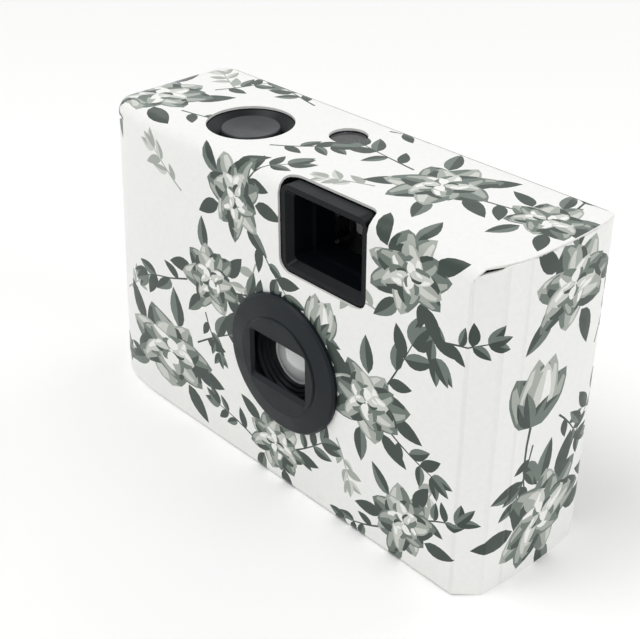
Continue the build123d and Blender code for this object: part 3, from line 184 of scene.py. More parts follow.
def wrapTable(u, height):
    # Place on the wrap at each column distance and height, between the nearest outlines
    low, share = tableStep(height / card["height"] * (len(rows) - 1), len(rows))
    share = share[:, None]
    column = np.clip(np.searchsorted(columns, u) - 1, 0, len(columns) - 2)
    along = ((u - columns[column]) / (columns[column + 1] - columns[column]))[:, None]
    lower = rows[low, column] * (1 - along) + rows[low, column + 1] * along
    upper = rows[low + 1, column] * (1 - along) + rows[low + 1, column + 1] * along
    return lower * (1 - share) + upper * share


depthMarks = np.linspace(card["turnDepth"][1], card["depth"] - card["backCorner"], steps["depths"])
leftRows = rows[:, :flatColumn][:, ::-1]
leftTable = np.array([np.interp(depthMarks, row[:, 1], row[:, 0]) for row in leftRows])


def leftEdge(depth, height):
    # How far left the wrap reaches at a depth and height
    low, share = tableStep(height / card["height"] * (len(rows) - 1), len(rows))
    first, part = tableStep((depth - depthMarks[0]) / (depthMarks[1] - depthMarks[0]), len(depthMarks))
    lower = leftTable[low, first] * (1 - part) + leftTable[low, first + 1] * part
    upper = leftTable[low + 1, first] * (1 - part) + leftTable[low + 1, first + 1] * part
    return lower * (1 - share) + upper * share


def smooth(value):
    # An even ramp from 0 to 1 whose ends are level
    value = np.clip(value, 0, 1)
    return value * value * (3 - 2 * value)


def arcDrop(reach, radius):
    # How far a quarter circle has fallen at a reach past its top
    return radius - np.sqrt(np.clip(radius ** 2 - np.clip(reach, 0, radius) ** 2, 0, None))


def wrapPoint(u, height):
    # The wrap in space: its foot bends under at the front and back, and its top tucks in at the back
    place = wrapTable(u, height)
    x, depth = place[:, 0], place[:, 1]
    fall = arcDrop(card["footFold"] - height, card["footFold"])
    atFront = np.clip((card["footFrontEnd"] - depth) / card["footFade"], 0, 1)
    atBack = np.clip((depth - card["footBackEnd"]) / card["footFade"], 0, 1)
    tucked = card["slit"] * smooth((height - card["slitFoot"]) / card["slitRise"])
    depth = depth + fall * atFront - fall * atBack
    depth = depth - tucked * (place[:, 1] > card["depth"] - card["slitBand"])
    return np.stack([x, depth, height], axis=1)


def roofDepth(depth):
    # Distance over the folds that belongs to a depth
    front, back = card["topFold"], card["backFold"]
    overFront = front * np.arccos(np.clip(1 - depth / front, -1, 1))
    overBack = backFoldStart + back * np.arcsin(np.clip((depth - card["depth"] + back) / back, 0, 1))
    level = frontArc + depth - front
    return np.where(depth < front, overFront, np.where(depth > card["depth"] - back, overBack, level))


def roofHeight(depth):
    # Height of the roof over a depth, lower over both folds
    front, back = card["topFold"], card["backFold"]
    return card["height"] - arcDrop(front - depth, front) - arcDrop(depth - card["depth"] + back, back)


def sideU(depth):
    # Column distance on the left side that belongs to a depth
    return float(np.interp(depth, foldRow[:flatColumn][::-1, 1], columns[:flatColumn][::-1]))


# The left flap in millimetres: the top panel's left end, which turns down a shoulder and tucks into the wrap
flap = {
    # The wrap's top edge there, as depths and heights
    "cut": ((0.76, foldHeight), (2.2, 58.1), (5.0, 55.7), (6.6, 54.7), (9.0, 54.4), (13.5, 53.5),
            (18.0, 53.1), (21.5, 52.3), (25.0, 50.6), (27.3, 50.0)),
    "cornerX": -36.0, "end": -56.0, "reach": 18.0, "planHeight": 57.0,
    "shoulder": 8.5, "shoulderStart": -38.2, "gap": 0.08, "inset": 0.4, "insetTop": 58.0, "insetFade": 4.0,
    # Its border on the layout, from the shoulder's end to the front corner, and at the back
    "borderU": (-46.0, -41.0), "borderOver": (5.5, 3.0, 1.0, 0.0),
    "backEnd": ((-46.0, None), (-47.6, 25.6), (-56.0, 25.0)),
    "lap": 1.4, "lapGrowth": 5, "leastRise": 0.4, "arcShare": 0.9,   # how its foot laps behind the cut edge
    "tuck": 0.65, "tuckFade": 0.9, "tuckEnd": 0.45, "tuckEndFade": 0.2,   # how far behind, and up to where
    "clear": 0.1, "clearGrowth": 6, "clearFade": 4.0, "inwards": (0.75, 0.65),
    "hold": 10.0, "holdPast": 2.0, "edgeFade": 12.0, "join": 1.5,   # where it parts from the front fold
    "bulge": 0.35, "bulgePast": 1.0, "bulgeWidth": 4.5, "bulgeReach": 4.8,
}
cutEdge = [(flap["cornerX"], foldHeight)] + [(sideU(depth), height) for depth, height in flap["cut"][1:]]
shoulderEnd = flap["shoulderStart"] - flap["shoulder"] * quarter
borderU = (shoulderEnd, *flap["borderU"], flap["cornerX"])
planRow = outlineAt(flap["planHeight"])[:flatColumn + 1]
planRow = planRow[int(np.argmin(planRow[:, 0])):]


def flapCorner(u, over):
    # Each column rises from a border tucked behind the wrap, turns over an arc and runs back level
    top = panelPoint(u, np.full_like(over, flap["reach"]))
    share = np.clip((flap["cornerX"] - u) / (flap["cornerX"] - shoulderEnd), 0, 1)
    x, height = top[:, 0], top[:, 2]
    plan = np.interp(x, planRow[:, 0], planRow[:, 1])
    cut = np.interp(plan, *np.array(flap["cut"]).T)
    bottom = np.minimum(cut - flap["lap"] * smooth(share * flap["lapGrowth"]), height - flap["leastRise"])
    radius = np.minimum(card["topFold"], flap["arcShare"] * (height - bottom))
    rise, arc, run = height - radius - bottom, radius * quarter, top[:, 1] - plan - radius
    start = np.interp(u, borderU, flap["borderOver"])
    passed = np.clip((over - start) / (flap["reach"] - start), 0, 1) * (rise + arc + run)
    angle = np.clip((passed - rise) / radius, 0, quarter)
    depth = plan + radius * (1 - np.cos(angle)) + np.clip(passed - rise - arc, 0, None)
    z = bottom + np.clip(passed, 0, rise) + radius * np.sin(angle)
    hidden = flap["tuck"] * (1 - smooth((z - cut) / flap["tuckFade"]))
    hidden = hidden * (1 - smooth((share - flap["tuckEnd"]) / flap["tuckEndFade"]))
    inside = (flap["clear"] + hidden) * smooth(share * flap["clearGrowth"])
    inside = inside * (1 - smooth((z - cut) / flap["clearFade"]))
    return np.stack([x + flap["inwards"][0] * inside, depth + flap["inwards"][1] * inside, z], axis=1)


def panelPoint(u, over):
    # The top panel: a fold at the front and back, and a shoulder at the left that turns down inside the side
    front, back = card["topFold"], card["backFold"]
    angle = np.clip(over / front, 0, quarter)
    backAngle = np.clip((over - backFoldStart) / back, 0, quarter)
    middle = np.clip(over - frontArc, 0, backFoldStart - frontArc)
    depth = front * (1 - np.cos(angle)) + middle + back * np.sin(backAngle)
    drop = front * (1 - np.sin(angle)) + back * (1 - np.cos(backAngle))
    drop = drop + np.clip(over - backFoldStart - backArc, 0, None)
    bent = np.clip(flap["shoulderStart"] - u, 0, None)
    radius = flap["shoulder"]
    bend = np.clip(bent / radius, 0, quarter)
    below = np.clip(bent - radius * quarter, 0, None)
    down = card["height"] - radius + (radius - drop) * np.cos(bend) - below
    height = np.where(bent > 0, down, card["height"] - drop)
    hold = smooth(1 - over / flap["hold"]) * (u > flap["cornerX"] - flap["holdPast"])
    x = u * (1 - hold) + np.interp(u, columns, foldRow[:, 0]) * hold
    x = np.where(bent > 0, flap["shoulderStart"] - (radius - drop) * np.sin(bend), x)
    inset = flap["gap"] + flap["inset"] * smooth((flap["insetTop"] - height) / flap["insetFade"])
    low = leftEdge(np.maximum(depth, depthMarks[0]), np.clip(height, 0, card["height"])) + inset + drop
    x = np.where(bent > 0, np.maximum(x, low), x)
    edgeDepth = np.where(u > card["foldRightX"], 0, np.interp(u, columns, foldRow[:, 1]))
    return np.stack([x, depth + edgeDepth * smooth(1 - over / flap["edgeFade"]), height], axis=1)


def roofPoint(u, over):
    # The top panel, blended into the flap's own columns at its front left corner
    place = panelPoint(u, over)
    corner = flapCorner(u, over)
    share = (smooth((flap["cornerX"] - u) / flap["join"]) * (over < flap["reach"]))[:, None]
    place = place * (1 - share) + corner * share
    # The card stands off a little where the front fold runs out into the flap
    nearCorner = 1 - smooth(np.abs(u - flap["cornerX"] + flap["bulgePast"]) / flap["bulgeWidth"])
    off = flap["bulge"] * nearCorner * np.sin(math.pi * np.clip(over / flap["bulgeReach"], 0, 1))
    place[:, 1] -= off
    place[:, 2] = np.minimum(place[:, 2] + off, card["height"])
    return place


# The print: my own layered rosettes, buds and leaf sprays, as flat ink shapes on the card's layout.
# The numbers are shares of a motif's size, angles in radians and ranges for the dice
ink = {"paper": 0, "pale": 1, "light": 2, "mid": 3, "dark": 4, "fibre": 5}
petalForm = {"points": 7, "longPoints": 9, "long": 5.5, "widest": 0.8, "round": 0.65, "bend": 0.12,
             "ripple": 0.06, "waves": 9, "phase": 6, "shadow": (0.25, 0.5), "glow": 0.25,
             "rimEnd": 0.985, "rim": 0.82}
leafForm = {"points": 7, "widest": 0.8, "round": 0.85, "bend": 0.3, "spine": 0.08}
stemForm = {"points": 5, "width": 0.4, "foot": 0.5, "taper": 0.25}
sprayForm = {"leaves": 4, "bow": 0.25, "leafLength": (0.36, 0.5), "leafTurn": (0.6, 1.0), "leafWidth": 0.23,
             "tipTurns": (-0.55, 0.5, 0.0), "tipSwing": 0.1, "tipLength": 0.44, "tipWidth": 0.105}
bloomForm = {
    "leaves": 5, "leafStep": 1.26, "leafSwing": 0.35, "leafOut": 0.62, "leafLength": 0.78, "leafWidth": 0.17,
    # Rows from the outside in: petals, length, half width and the inks of every other petal
    "rows": ((7, 1.0, 0.34, ("mid dark light", "light mid pale")),
             (6, 0.78, 0.3, ("light dark pale", "mid dark light")),
             (5, 0.55, 0.23, ("pale mid paper", "light mid paper")),
             (4, 0.32, 0.14, ("pale dark paper", "paper mid paper"))),
    "rowTurn": 0.47, "swing": 0.14, "out": 0.03, "length": (0.87, 1.08), "width": (0.88, 1.12), "lit": 0.7,
    "squash": 0.8,
}
budForm = {
    "foot": 0.55, "stemLength": 1.2, "stemBow": 0.2, "stemWidth": 0.6, "leafTurn": 0.9, "leafLength": 0.62,
    "leafWidth": 0.15, "close": 0.75, "petalWidth": 0.29,
    # Petals: lean, inks, length and lit side
    "petals": ((-0.62, "mid dark light", 0.98, 1), (0.62, "mid dark light", 1.0, -1),
               (-0.33, "light mid pale", 1.12, 1), (0.34, "light mid pale", 1.1, -1),
               (0.03, "pale light paper", 1.0, 1)),
    "sepals": (-0.8, 0.75, -0.25, 0.3), "sepalLength": (0.5, 0.66), "sepalWidth": 0.12,
}
shapes = []
dice = np.random.RandomState(11)


def paired(x, y):
    return np.stack([x, y], axis=1)


def swing(amount):
    return dice.uniform(-amount, amount)


def placed(points, place, angle):
    # A shape drawn along x from the origin, turned and moved to its place
    c, s = math.cos(angle), math.sin(angle)
    x, y = points[:, 0], points[:, 1]
    return paired(place[0] + c * x - s * y, place[1] + s * x + c * y)


def lay(tone, place, angle, there, back):
    # A flat shape that runs out along one line and home along another
    shapes.append((placed(np.concatenate([there, back[::-1]]), place, angle), ink[tone]))


def petal(place, angle, length, width, tones, side):
    # A rounded petal, widest past its middle, with a shadow along one side and light along the other
    form = petalForm
    tone, shade, lit = tones.split()
    share = np.linspace(0, 1, form["longPoints"] if length > form["long"] else form["points"])
    ripple = 1 + form["ripple"] * np.sin(form["waves"] * share + dice.uniform(0, form["phase"]))
    half = width * np.sin(math.pi * share ** form["widest"]) ** form["round"] * ripple
    along, bend = length * share, swing(form["bend"]) * length * share ** 2
    edge = paired(along, bend + side * half)
    other = paired(along, bend - side * half)
    inner = paired(along, bend + side * half * dice.uniform(*form["shadow"]))
    glow = paired(along, bend - side * half * form["glow"])
    rim = paired(along * form["rimEnd"], bend - side * half * form["rim"])
    lay(tone, place, angle, edge, other[1:-1])
    lay(shade, place, angle, edge[:-1], inner[1:-1])
    lay(lit, place, angle, rim[2:-1], glow[3:-1])


def leaf(place, angle, length, width, tone, shade):
    # A pointed leaf that bends a little, with its lower half shaded
    form = leafForm
    share = np.linspace(0, 1, form["points"])
    half = width * np.sin(math.pi * share ** form["widest"]) ** form["round"]
    bend = swing(form["bend"]) * length * share ** 2
    along = length * share
    upper = paired(along, bend + half)
    lower = paired(along, bend - half)
    spine = paired(along, bend + half * form["spine"])
    lay(tone, place, angle, lower, upper[1:-1])
    lay(shade, place, angle, lower[:-1], spine[1:])


def stem(place, angle, length, bend, width=stemForm["width"], tone="dark"):
    # A thin bowed stroke; returns the points along its middle
    share = np.linspace(0, 1, stemForm["points"])
    middle = paired(length * share, bend * length * share ** 2)
    taper = (width * (stemForm["foot"] - stemForm["taper"] * share))[:, None] * np.array([0, 1])
    lay(tone, place, angle, middle + taper, middle - taper)
    return placed(middle, place, angle)


def spray(place, length, angle, tone="mid", shade="dark"):
    # A stem with leaves on alternate sides and three at its tip
    form = sprayForm
    line = stem(place, angle, length, swing(form["bow"]), tone=shade)
    last = len(line) - 1
    for number in range(form["leaves"]):
        spot = line[min(1 + number * last // form["leaves"], last - 1)]
        side = 1 if number % 2 else -1
        size = length * dice.uniform(*form["leafLength"])
        turn = angle + side * dice.uniform(*form["leafTurn"])
        leaf(spot, turn, size, size * form["leafWidth"], tone if number % 3 else shade, shade)
    for tipTurn in form["tipTurns"]:
        turn = angle + tipTurn + swing(form["tipSwing"])
        leaf(line[-1], turn, length * form["tipLength"], length * form["tipWidth"], tone, shade)


def paleSpray(place, length, angle):
    spray(place, length, angle, "pale", "light")


def bloom(place, size, turn):
    # A full bloom seen a little from the side: leaves behind, then rows of shaded petals round a tight heart
    form = bloomForm
    place = np.asarray(place, float)
    for number in range(form["leaves"]):
        angle = turn + form["leafStep"] * number + swing(form["leafSwing"])
        start = place + size * form["leafOut"] * around(angle)
        leaf(start, angle + swing(form["leafSwing"]), size * form["leafLength"], size * form["leafWidth"],
             "mid" if number % 2 else "dark", "dark")
    first = len(shapes)
    for number, (count, reach, width, tones) in enumerate(form["rows"]):
        for item in range(count):
            angle = turn + form["rowTurn"] * number + 2 * math.pi * item / count + swing(form["swing"])
            start = place + size * form["out"] * around(angle)
            petal(start, angle, size * reach * dice.uniform(*form["length"]),
                  size * width * dice.uniform(*form["width"]), tones[(item + number) % 2],
                  1 if dice.uniform() < form["lit"] else -1)
    # The whole flower leans: it is squashed across one direction
    c, s = math.cos(turn), math.sin(turn)
    spin = np.array([[c, -s], [s, c]])
    leaning = spin @ np.diag([1.0, form["squash"]]) @ spin.T
    for number in range(first, len(shapes)):
        shapes[number] = (place + (shapes[number][0] - place) @ leaning.T, shapes[number][1])


def bud(place, size, turn):
    # A half-open bud: five overlapping petals held by dark sepals, on a stem with two leaves
    form = budForm
    foot = np.asarray(place) - around(turn) * size * form["foot"]
    line = stem(foot, turn + math.pi, size * form["stemLength"], form["stemBow"], form["stemWidth"])
    for spot, side in ((line[2], 1), (line[3], -1)):
        leafTurn = turn + math.pi + side * form["leafTurn"]
        leaf(spot, leafTurn, size * form["leafLength"], size * form["leafWidth"], "mid", "dark")
    for lean, tones, reach, side in form["petals"]:
        petal(foot, turn + lean * form["close"], size * reach, size * form["petalWidth"], tones, side)
    for lean in form["sepals"]:
        leaf(foot, turn + lean, size * dice.uniform(*form["sepalLength"]), size * form["sepalWidth"],
             "dark", "mid")


# Motifs on the layout: kind, place, size and turn in degrees. Those of the back are placed from its corner
grow = 1.14
motifs = (
    ("pale", -19, 51, 8, 150), ("pale", 1, 44, 8, 250), ("pale", 21, 18, 7, 300), ("pale", 31, 47, 8, 170),
    ("pale", -38, 22, 7, 40), ("pale", 44, 22, 8, 250), ("pale", 20, 70, 7, 200), ("pale", -28, 82, 8, 160),
    ("spray", -17, 20, 13, 35), ("spray", -31, 9, 8, 200), ("bloom", -25, 14, 9.8, 10),
    ("spray", -7, 35, 10, 20), ("spray", -19, 33, 10, 200), ("spray", -14, 28, 7, 285),
    ("bloom", -12, 36, 7.6, 40), ("spray", -2, 56, 10, 65), ("spray", 1, 50, 10, 300),
    ("bloom", -4, 55, 7.4, 75), ("spray", 13, 40, 9, 320), ("bud", 17, 40, 7, 80),
    ("spray", 31, 32, 12, 60), ("spray", 33, 26, 9, 330), ("bloom", 28, 29, 8.0, 20),
    ("spray", 8, 8, 10, 30), ("spray", -1, 6, 9, 160), ("bloom", 5, 8, 7.2, 5), ("spray", 40, 11, 8, 40),
    ("spray", 32, 5, 8, 210), ("bloom", 37, 9, 7.2, 60), ("spray", 38, 55, 10, 300),
    ("spray", 42, 47, 8, 20), ("bloom", 36, 56, 7.6, 15), ("spray", -56, 28, 10, 300),
    ("spray", -60, 24, 8, 215), ("bud", -56, 38, 9.5, 105), ("spray", -72, 46, 9, 250),
    ("spray", -76, 30, 12, 280), ("spray", -66, 8, 10, 150), ("bloom", -72, 12, 8.5, 30),
    ("spray", -49, 5, 8, 20), ("bloom", -37, 70, 9.6, 35), ("spray", -27, 68, 9, 10),
    ("spray", -44, 62, 8, 220), ("spray", -31, 79, 9, 60), ("spray", -4, 69, 9, 35),
    ("spray", 34, 78, 13, 10), ("spray", 20, 79, 11, 175), ("bloom", 27, 78, 8.0, 50),
    ("spray", 47, 86, 9, 100), ("bloom", 46, 80, 6.6, 20), ("spray", 6, 88, 9, 20),
    ("spray", -12, 87, 9, 170), ("bud", 62, 37, 10, 80), ("spray", 62, 27, 9, 260),
    ("spray", 68, 30, 8, 320), ("bloom", 68, 54, 8.4, 10), ("spray", 76, 40, 10, 70),
    ("spray", 72, 20, 10, 70), ("bloom", 66, 11, 9.6, 45), ("spray", 78, 6, 8, 20),
)
backMotifs = (
    ("bloom", 8, 12, 9, 30), ("spray", 16, 18, 11, 30), ("bud", 24, 40, 9, 95), ("spray", 30, 33, 9, 330),
    ("bloom", 40, 16, 8.4, 10), ("spray", 33, 9, 9, 200), ("bloom", 48, 45, 8, 60), ("spray", 55, 50, 10, 10),
    ("bud", 64, 20, 9, 70), ("spray", 70, 12, 9, 320), ("bloom", 80, 38, 9, 35), ("spray", 88, 44, 9, 40),
    ("pale", 52, 28, 8, 100), ("pale", 20, 54, 8, 200), ("pale", 82, 19, 6, 110), ("bloom", 77, 9, 6.5, 0),
)
onBack = tuple((kind, u + backStartU, *rest) for kind, u, *rest in backMotifs)
drawing = {"bloom": bloom, "bud": bud, "spray": spray, "pale": paleSpray}
for kind, u, v, size, turn in motifs + onBack:
    drawing[kind]((u, v), size * grow, math.radians(turn))
print("stage: print drawn,", len(shapes), "shapes")


def roundedBox(left, right, low, high, corner, count=openings["cornerSteps"]):
    # A box whose corners are quarter circles
    points = []
    for x, y, start in ((right, high, 0), (left, high, 90), (left, low, 180), (right, low, 270)):
        for step in range(count + 1):
            angle = math.radians(start + 90 * step / count)
            inX = corner * (math.cos(angle) - (1 if x == right else -1))
            inY = corner * (math.sin(angle) - (1 if y == high else -1))
            points.append((x + inX, y + inY))
    return np.array(points)


def ring(u, v, radius, count=openings["ringSteps"]):
    # Even steps round a circle
    angles = np.linspace(0, 2 * math.pi, count, endpoint=False)
    return paired(u + radius * np.cos(angles), v + radius * np.sin(angles))


def overDepth(depth):
    # Height on the layout that belongs to a depth on the roof
    return foldHeight + float(roofDepth(np.array([depth]))[0])


# The wrap's top edge at the right: a slot under the roof, wider along the chamfer; and the notch at the back
topEdge = {"gap": 0.3, "bow": 2.9, "shares": (0.06, 0.14, 0.25, 0.4, 0.6, 0.8),
           "notchX": -37.0, "notchFoot": 50.0, "notchTop": 59.0}
rightTop = []
chamferU, chamferDepth = columns[foldColumn + 1], foldRow[foldColumn + 1, 1]
for share in topEdge["shares"]:
    gap = topEdge["gap"] + topEdge["bow"] * share * (1 - share)
    rightTop.append((card["foldRightX"] + (chamferU - card["foldRightX"]) * share,
                     float(roofHeight(chamferDepth * share)) - gap))
for column in range(foldColumn + 1, backColumn + 1):
    rightTop.append((columns[column], float(roofHeight(foldRow[column, 1])) - topEdge["gap"]))
notchU = backZeroU - topEdge["notchX"]
wrapNet = [(u, 0.0) for u in columns] + [(columns[-1], topEdge["notchFoot"]), (notchU, topEdge["notchFoot"])]
wrapNet += [(notchU, topEdge["notchTop"]), (backStartU, topEdge["notchTop"])] + rightTop[::-1][1:]
wrapNet += [(card["foldRightX"], foldHeight)] + cutEdge + [(columns[0], topEdge["notchFoot"])]
roofNet = [(flap["cornerX"], foldHeight), (card["foldRightX"], foldHeight)]
roofNet += [(x, overDepth(depth)) for x, depth in rows[-1, foldColumn + 1:backColumn + 1]]
roofNet.append((rows[-1, backColumn, 0], foldHeight + roofEnd))
roofNet += [(u, foldHeight + roofEnd if depth is None else overDepth(depth)) for u, depth in flap["backEnd"]]
roofNet.append((flap["end"], foldHeight + flap["borderOver"][0]))
roofNet += [(u, foldHeight + over) for u, over in zip(borderU[:-1], flap["borderOver"])]
wrapNet, roofNet = np.array(wrapNet, float), np.array(roofNet, float)

finderLeft, finderRight, finderLow, finderBack = openings["finder"]
buttonX, buttonDepth, buttonRadius = openings["button"]
windowX, windowDepth, windowRadius = openings["window"]
holes = [ring(*openings["lens"]), ring(buttonX, overDepth(buttonDepth), buttonRadius),
         ring(windowX, overDepth(windowDepth), windowRadius, openings["windowSteps"]),
         roundedBox(finderLeft, finderRight, finderLow, overDepth(finderBack), openings["finderCorner"])]
for left, right, low, high in (openings["thumb"], openings["eye"]):
    holes.append(roundedBox(backZeroU - right, backZeroU - left, low, high, openings["backCorner"]))

# Marks and lines that let the net bend: rows over the folds, columns round the ends
bends = {
    "frontRows": 8, "backRows": 7, "rowStep": 2.5, "rowSpan": (-55.0, 54.0),
    "flapStep": 1.0, "flapSpan": (-55.0, -30.0), "flapRowStep": 1.5, "flapRowStart": 1.0,
    "heights": (8, 16, 24, 32, 40, 46, 50, 53, 55.5, 57.5),
    "footLines": (0.15, 0.5, 1.2), "foldLines": (1.4, 2.7, frontArc, backFoldStart),
    "lineStep": 1.5, "lineSpan": (-55.0, 51.0), "merge": 0.0005, "leastArea": 1e-7,
}
foldRows = list(np.linspace(0, frontArc, bends["frontRows"]))
foldRows += list(np.linspace(backFoldStart, backFoldStart + backArc, bends["backRows"])) + [roofEnd]
flapRows = np.arange(bends["flapRowStart"], backFoldStart - bends["flapRowStart"], bends["flapRowStep"])
foldUs = np.arange(*bends["rowSpan"], bends["rowStep"])
flapUs = np.arange(*bends["flapSpan"], bends["flapStep"])
marks = [(u, foldHeight + over) for over in foldRows for u in foldUs]
marks += [(u, foldHeight + over) for over in flapRows for u in flapUs]
marks += [(u, height) for height in bends["heights"] for u in columns[1:-1]]
lines = [[(u, height) for u in columns] for height in bends["footLines"]]
lines += [[(u, foldHeight + over) for u in np.arange(*bends["lineSpan"], bends["lineStep"])]
          for over in bends["foldLines"]]
corners, faces, edges = [], [], []


def addLoop(points):
    # A loop of the net or the print, turned so that it runs anticlockwise
    area = np.sum(points[:, 0] * np.roll(points[:, 1], -1) - np.roll(points[:, 0], -1) * points[:, 1])
    if area < 0:
        points = points[::-1]
    first = len(corners)
    corners.extend(map(Vector, points.tolist()))
    faces.append(list(range(first, first + len(points))))


for loop in [wrapNet, roofNet] + holes + [points for points, _ in shapes]:
    addLoop(loop)
for u in (card["foldRightX"], columns[foldColumn + 1]):
    edges.append((len(corners), len(corners) + 1))
    corners.extend([Vector((u, 0.0)), Vector((u, foldHeight))])
for line in lines:
    edges += [(len(corners) + step, len(corners) + step + 1) for step in range(len(line) - 1)]
    corners.extend(map(Vector, line))
corners.extend(map(Vector, marks))
cut = delaunay_2d_cdt(corners, edges, faces, 0, bends["merge"])
layout = np.array([(corner[0], corner[1]) for corner in cut[0]])
triangles = np.array(cut[2])


def within(loop, spots):
    # Even-odd rule: a spot is inside where a ray to its right crosses the loop an odd number of times
    start, end = loop[:, :, None], np.roll(loop, -1, axis=0)[:, :, None]
    crosses = (start[:, 1] > spots[:, 1]) != (end[:, 1] > spots[:, 1])
    rise = np.where(crosses, end[:, 1] - start[:, 1], 1)
    hit = start[:, 0] + (spots[:, 1] - start[:, 1]) * (end[:, 0] - start[:, 0]) / rise
    return (crosses & (spots[:, 0] < hit)).sum(axis=0) % 2 == 1


# Each triangle belongs to the wrap, the roof or neither, and takes the last ink laid over its middle
middles = layout[triangles].mean(axis=1)
onWrap = within(wrapNet, middles)
kept = onWrap | within(roofNet, middles)
for hole in holes:
    kept &= ~within(hole, middles)
first, second, third = (layout[triangles[:, k]] for k in range(3))
a, b = second - first, third - first
kept &= np.abs(a[:, 0] * b[:, 1] - a[:, 1] * b[:, 0]) > bends["leastArea"]
triangles, onWrap, middles = triangles[kept], onWrap[kept], middles[kept]
inks = np.zeros(len(triangles))
for points, tone in shapes:
    near = np.nonzero(((middles > points.min(axis=0)) & (middles < points.max(axis=0))).all(axis=1))[0]
    inks[near[within(points, middles[near])]] = tone
print("stage: net cut,", len(triangles), "triangles")

# Triangles of the wrap use its own places and those of the roof theirs; they share those on the front fold
sameSpot = 1e-5
u, v = layout[:, 0], layout[:, 1]
asWrap = wrapPoint(u, np.clip(v, 0, card["height"]))
asRoof = roofPoint(u, v - foldHeight)
count = len(layout)
onFold = np.abs(v - foldHeight) < sameSpot
onFold &= (u < card["foldRightX"] + sameSpot) & (u > flap["cornerX"] - sameSpot)
roofIndex = np.where(onFold, np.arange(count), np.arange(count) + count)
triangles = np.where(onWrap[:, None], triangles, roofIndex[triangles])
used, packed = np.unique(triangles, return_inverse=True)
triangles = packed.reshape(triangles.shape)
points = np.concatenate([asWrap, asRoof])[used]
flatUv = np.concatenate([layout, layout])[used]
points[:, 1] += card["frontY"]


def vertexNormals(points, faceList):
    # The sum of the normals of the faces round each vertex, each as long as its face is large
    a, b, c = (points[faceList[:, k]] for k in range(3))
    flat = np.cross(b - a, c - a)
    total = np.zeros_like(points)
    for k in range(3):
        np.add.at(total, faceList[:, k], flat)
    return total / np.maximum(np.linalg.norm(total, axis=1), 1e-12)[:, None]


# The shell is closed: an inner skin one thickness inside, and strips that join the two along every cut edge
shell = {"onFloor": 0.01, "uvScale": 0.01, "roofShift": 3.0, "sharp": 24}
inner = points - vertexNormals(points, triangles) * card["thickness"]
lowest = np.nonzero((flatUv[:, 1] < 1e-6) & (points[:, 2] < shell["onFloor"]))[0]
lowest = lowest[np.argsort(flatUv[lowest, 0])]
directed = np.concatenate([triangles[:, [0, 1]], triangles[:, [1, 2]], triangles[:, [2, 0]]])
_, inverse, uses = np.unique(np.sort(directed, axis=1), axis=0, return_inverse=True, return_counts=True)
free = directed[uses[inverse.ravel()] == 1]
free = free[~np.isin(free, lowest).all(axis=1)]
total = len(points)
rimFaces = np.stack([free[:, 1], free[:, 0], free[:, 0] + total, free[:, 1] + total], axis=1)
floorFaces = [lowest[::-1].tolist(), (lowest + total).tolist()]
allPoints = np.concatenate([points, inner]) * mm
allPoints[:, 2] = np.clip(allPoints[:, 2], 0, None)
allPoints[lowest + total, 2] = card["thickness"] * mm
allFaces = triangles.tolist() + (triangles[:, ::-1] + total).tolist() + rimFaces.tolist() + floorFaces
bare = np.full(len(triangles) + len(rimFaces), ink["fibre"])
allInk = np.concatenate([inks, bare, [ink["paper"], ink["fibre"]]]).astype(np.float32)
cardMesh = bpy.data.meshes.new("card_sleeve_printed")
cardMesh.from_pydata(allPoints.tolist(), [], allFaces)
cardMesh.attributes.new("ink", "FLOAT", "FACE").data.foreach_set("value", allInk)
uvLayer = cardMesh.uv_layers.new(name="layout")
loopVertices = np.empty(len(cardMesh.loops), np.int32)
cardMesh.loops.foreach_get("vertex_index", loopVertices)
# The UV map is the layout, in tenths of a metre; the roof lies to one side, clear of the wrap's score lines
loopUv = np.concatenate([flatUv, flatUv])[loopVertices] * shell["uvScale"]
onRoof = np.repeat(np.tile(~onWrap, 2), 3)
loopUv[:len(onRoof), 0] += shell["roofShift"] * onRoof
uvLayer.data.foreach_set("uv", loopUv.astype(np.float32).ravel())
cardMesh.polygons.foreach_set("use_smooth", np.ones(len(cardMesh.polygons), bool))
cardMesh.set_sharp_from_angle(angle=math.radians(shell["sharp"]))
cardMesh.validate()
cardPiece = newPiece("card_sleeve_printed", cardMesh)
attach(cardPiece, "body")
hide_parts("card_sleeve")
print("stage: card built,", len(allFaces), "faces")

# Materials
noiseSpread = (0.3, 0.7)   # where nearly all of a noise texture's values lie


def newMaterial(name, color, roughness):
    material = bpy.data.materials.new(name)
    material.use_nodes = True
    tree = material.node_tree
    shader = tree.nodes["Principled BSDF"]
    shader.inputs["Base Color"].default_value = (*color, 1)
    shader.inputs["Roughness"].default_value = roughness
    return material, tree, shader


def noise(tree, scale, detail=3.0, roughness=0.5, stretch=None):
    # Noise on the object's own coordinates, stretched along an axis where asked
    source = tree.nodes.new("ShaderNodeTexCoord").outputs["Object"]
    if stretch:
        mapping = tree.nodes.new("ShaderNodeMapping")
        mapping.inputs["Scale"].default_value = stretch
        tree.links.new(source, mapping.inputs["Vector"])
        source = mapping.outputs["Vector"]
    texture = tree.nodes.new("ShaderNodeTexNoise")
    texture.inputs["Scale"].default_value = scale
    texture.inputs["Detail"].default_value = detail
    texture.inputs["Roughness"].default_value = roughness
    tree.links.new(source, texture.inputs["Vector"])
    return texture.outputs["Fac"]


def mapped(tree, value, low, high, toLow, toHigh):
    node = tree.nodes.new("ShaderNodeMapRange")
    for slot, number in (("From Min", low), ("From Max", high), ("To Min", toLow), ("To Max", toHigh)):
        node.inputs[slot].default_value = number
    tree.links.new(value, node.inputs["Value"])
    return node.outputs["Result"]


